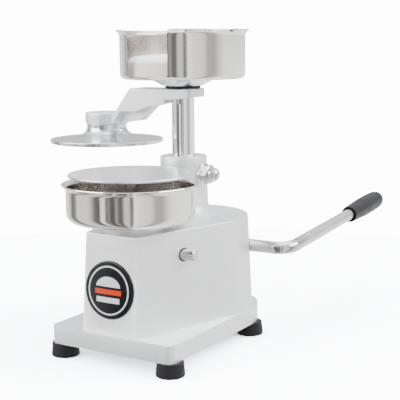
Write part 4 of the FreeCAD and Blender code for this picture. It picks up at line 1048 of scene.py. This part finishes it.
# ---------------------------------------------------------------- operators and panel


class PRESS_OT_materials(bpy.types.Operator):
    """Build the shader groups and every finish"""
    bl_idname = "press.materials"
    bl_label = "Make materials"

    def execute(self, context):
        make_materials()
        return {"FINISHED"}


class PRESS_OT_node_finishes(bpy.types.Operator):
    """Give every CAD node its finish"""
    bl_idname = "press.node_finishes"
    bl_label = "Finish nodes"

    def execute(self, context):
        finish_nodes()
        return {"FINISHED"}


class PRESS_OT_casting(bpy.types.Operator):
    """Casting with softened edges"""
    bl_idname = "press.casting"
    bl_label = "Add casting"

    def execute(self, context):
        make_casting()
        return {"FINISHED"}


class PRESS_OT_arm(bpy.types.Operator):
    """Cast arm with softened edges"""
    bl_idname = "press.arm"
    bl_label = "Add arm"

    def execute(self, context):
        make_arm()
        return {"FINISHED"}


class PRESS_OT_post(bpy.types.Operator):
    """Chromed post with its groove"""
    bl_idname = "press.post"
    bl_label = "Add post"

    def execute(self, context):
        make_post()
        return {"FINISHED"}


class PRESS_OT_lever(bpy.types.Operator):
    """Bent lever rod"""
    bl_idname = "press.lever"
    bl_label = "Add lever"

    def execute(self, context):
        make_lever()
        return {"FINISHED"}


class PRESS_OT_bowl(bpy.types.Operator):
    """Spun steel bowl with a flared lip"""
    bl_idname = "press.bowl"
    bl_label = "Add bowl"

    def execute(self, context):
        make_bowl()
        return {"FINISHED"}


class PRESS_OT_holder(bpy.types.Operator):
    """Spun paper holder with its cut-out"""
    bl_idname = "press.holder"
    bl_label = "Add paper holder"

    def execute(self, context):
        make_holder()
        return {"FINISHED"}


class PRESS_OT_paper_stack(bpy.types.Operator):
    """Stack of interleaf paper"""
    bl_idname = "press.paper_stack"
    bl_label = "Add paper"

    def execute(self, context):
        make_paper_stack()
        return {"FINISHED"}


class PRESS_OT_press_plate(bpy.types.Operator):
    """Turned press plate with its flared hub"""
    bl_idname = "press.press_plate"
    bl_label = "Add press plate"

    def execute(self, context):
        make_plate()
        return {"FINISHED"}


class PRESS_OT_ejector(bpy.types.Operator):
    """Turned ejector plate"""
    bl_idname = "press.ejector"
    bl_label = "Add ejector"

    def execute(self, context):
        make_ejector()
        return {"FINISHED"}


class PRESS_OT_feet(bpy.types.Operator):
    """Four moulded feet"""
    bl_idname = "press.feet"
    bl_label = "Add feet"

    def execute(self, context):
        make_feet()
        return {"FINISHED"}


class PRESS_OT_badge(bpy.types.Operator):
    """Domed badge with a plain picture"""
    bl_idname = "press.badge"
    bl_label = "Add badge"

    def execute(self, context):
        make_badge()
        return {"FINISHED"}


class PRESS_OT_grip(bpy.types.Operator):
    """Sleeve on the lever"""
    bl_idname = "press.grip"
    bl_label = "Add grip"

    def execute(self, context):
        make_grip()
        return {"FINISHED"}


class PRESS_OT_nuts(bpy.types.Operator):
    """Jam nut and domed nut on the brake stud"""
    bl_idname = "press.nuts"
    bl_label = "Add nuts"

    def execute(self, context):
        make_nuts()
        return {"FINISHED"}


class PRESS_OT_stage(bpy.types.Operator):
    """Floor, lights, room and camera"""
    bl_idname = "press.stage"
    bl_label = "Add stage"

    def execute(self, context):
        make_stage()
        return {"FINISHED"}


OPERATORS = (
    PRESS_OT_materials, PRESS_OT_node_finishes, PRESS_OT_casting, PRESS_OT_arm, PRESS_OT_post,
    PRESS_OT_lever, PRESS_OT_bowl, PRESS_OT_holder, PRESS_OT_paper_stack, PRESS_OT_press_plate,
    PRESS_OT_ejector, PRESS_OT_feet, PRESS_OT_badge, PRESS_OT_grip, PRESS_OT_nuts, PRESS_OT_stage,
)


class PRESS_PT_sidebar(bpy.types.Panel):
    """Lists the press's operators and sizes in the sidebar."""
    bl_label = "Patty press"
    bl_space_type = "VIEW_3D"
    bl_region_type = "UI"
    bl_category = "Patty press"

    def draw(self, context):
        for operator in OPERATORS:
            self.layout.operator(operator.bl_idname)
        for group in (context.scene.press_sizes, context.scene.press_colours):
            for field in group.__annotations__:
                self.layout.prop(group, field)


CLASSES = (PressSizes, PressColours, *OPERATORS, PRESS_PT_sidebar)


def register():
    for item in CLASSES:
        bpy.utils.register_class(item)
    bpy.types.Scene.press_sizes = PointerProperty(type=PressSizes)
    bpy.types.Scene.press_colours = PointerProperty(type=PressColours)


def unregister():
    del bpy.types.Scene.press_colours
    del bpy.types.Scene.press_sizes
    for item in reversed(CLASSES):
        bpy.utils.unregister_class(item)


def main():
    register()
    for operator in OPERATORS:
        getattr(bpy.ops.press, operator.bl_idname.split(".")[1])()


if __name__ == "__main__":
    main()
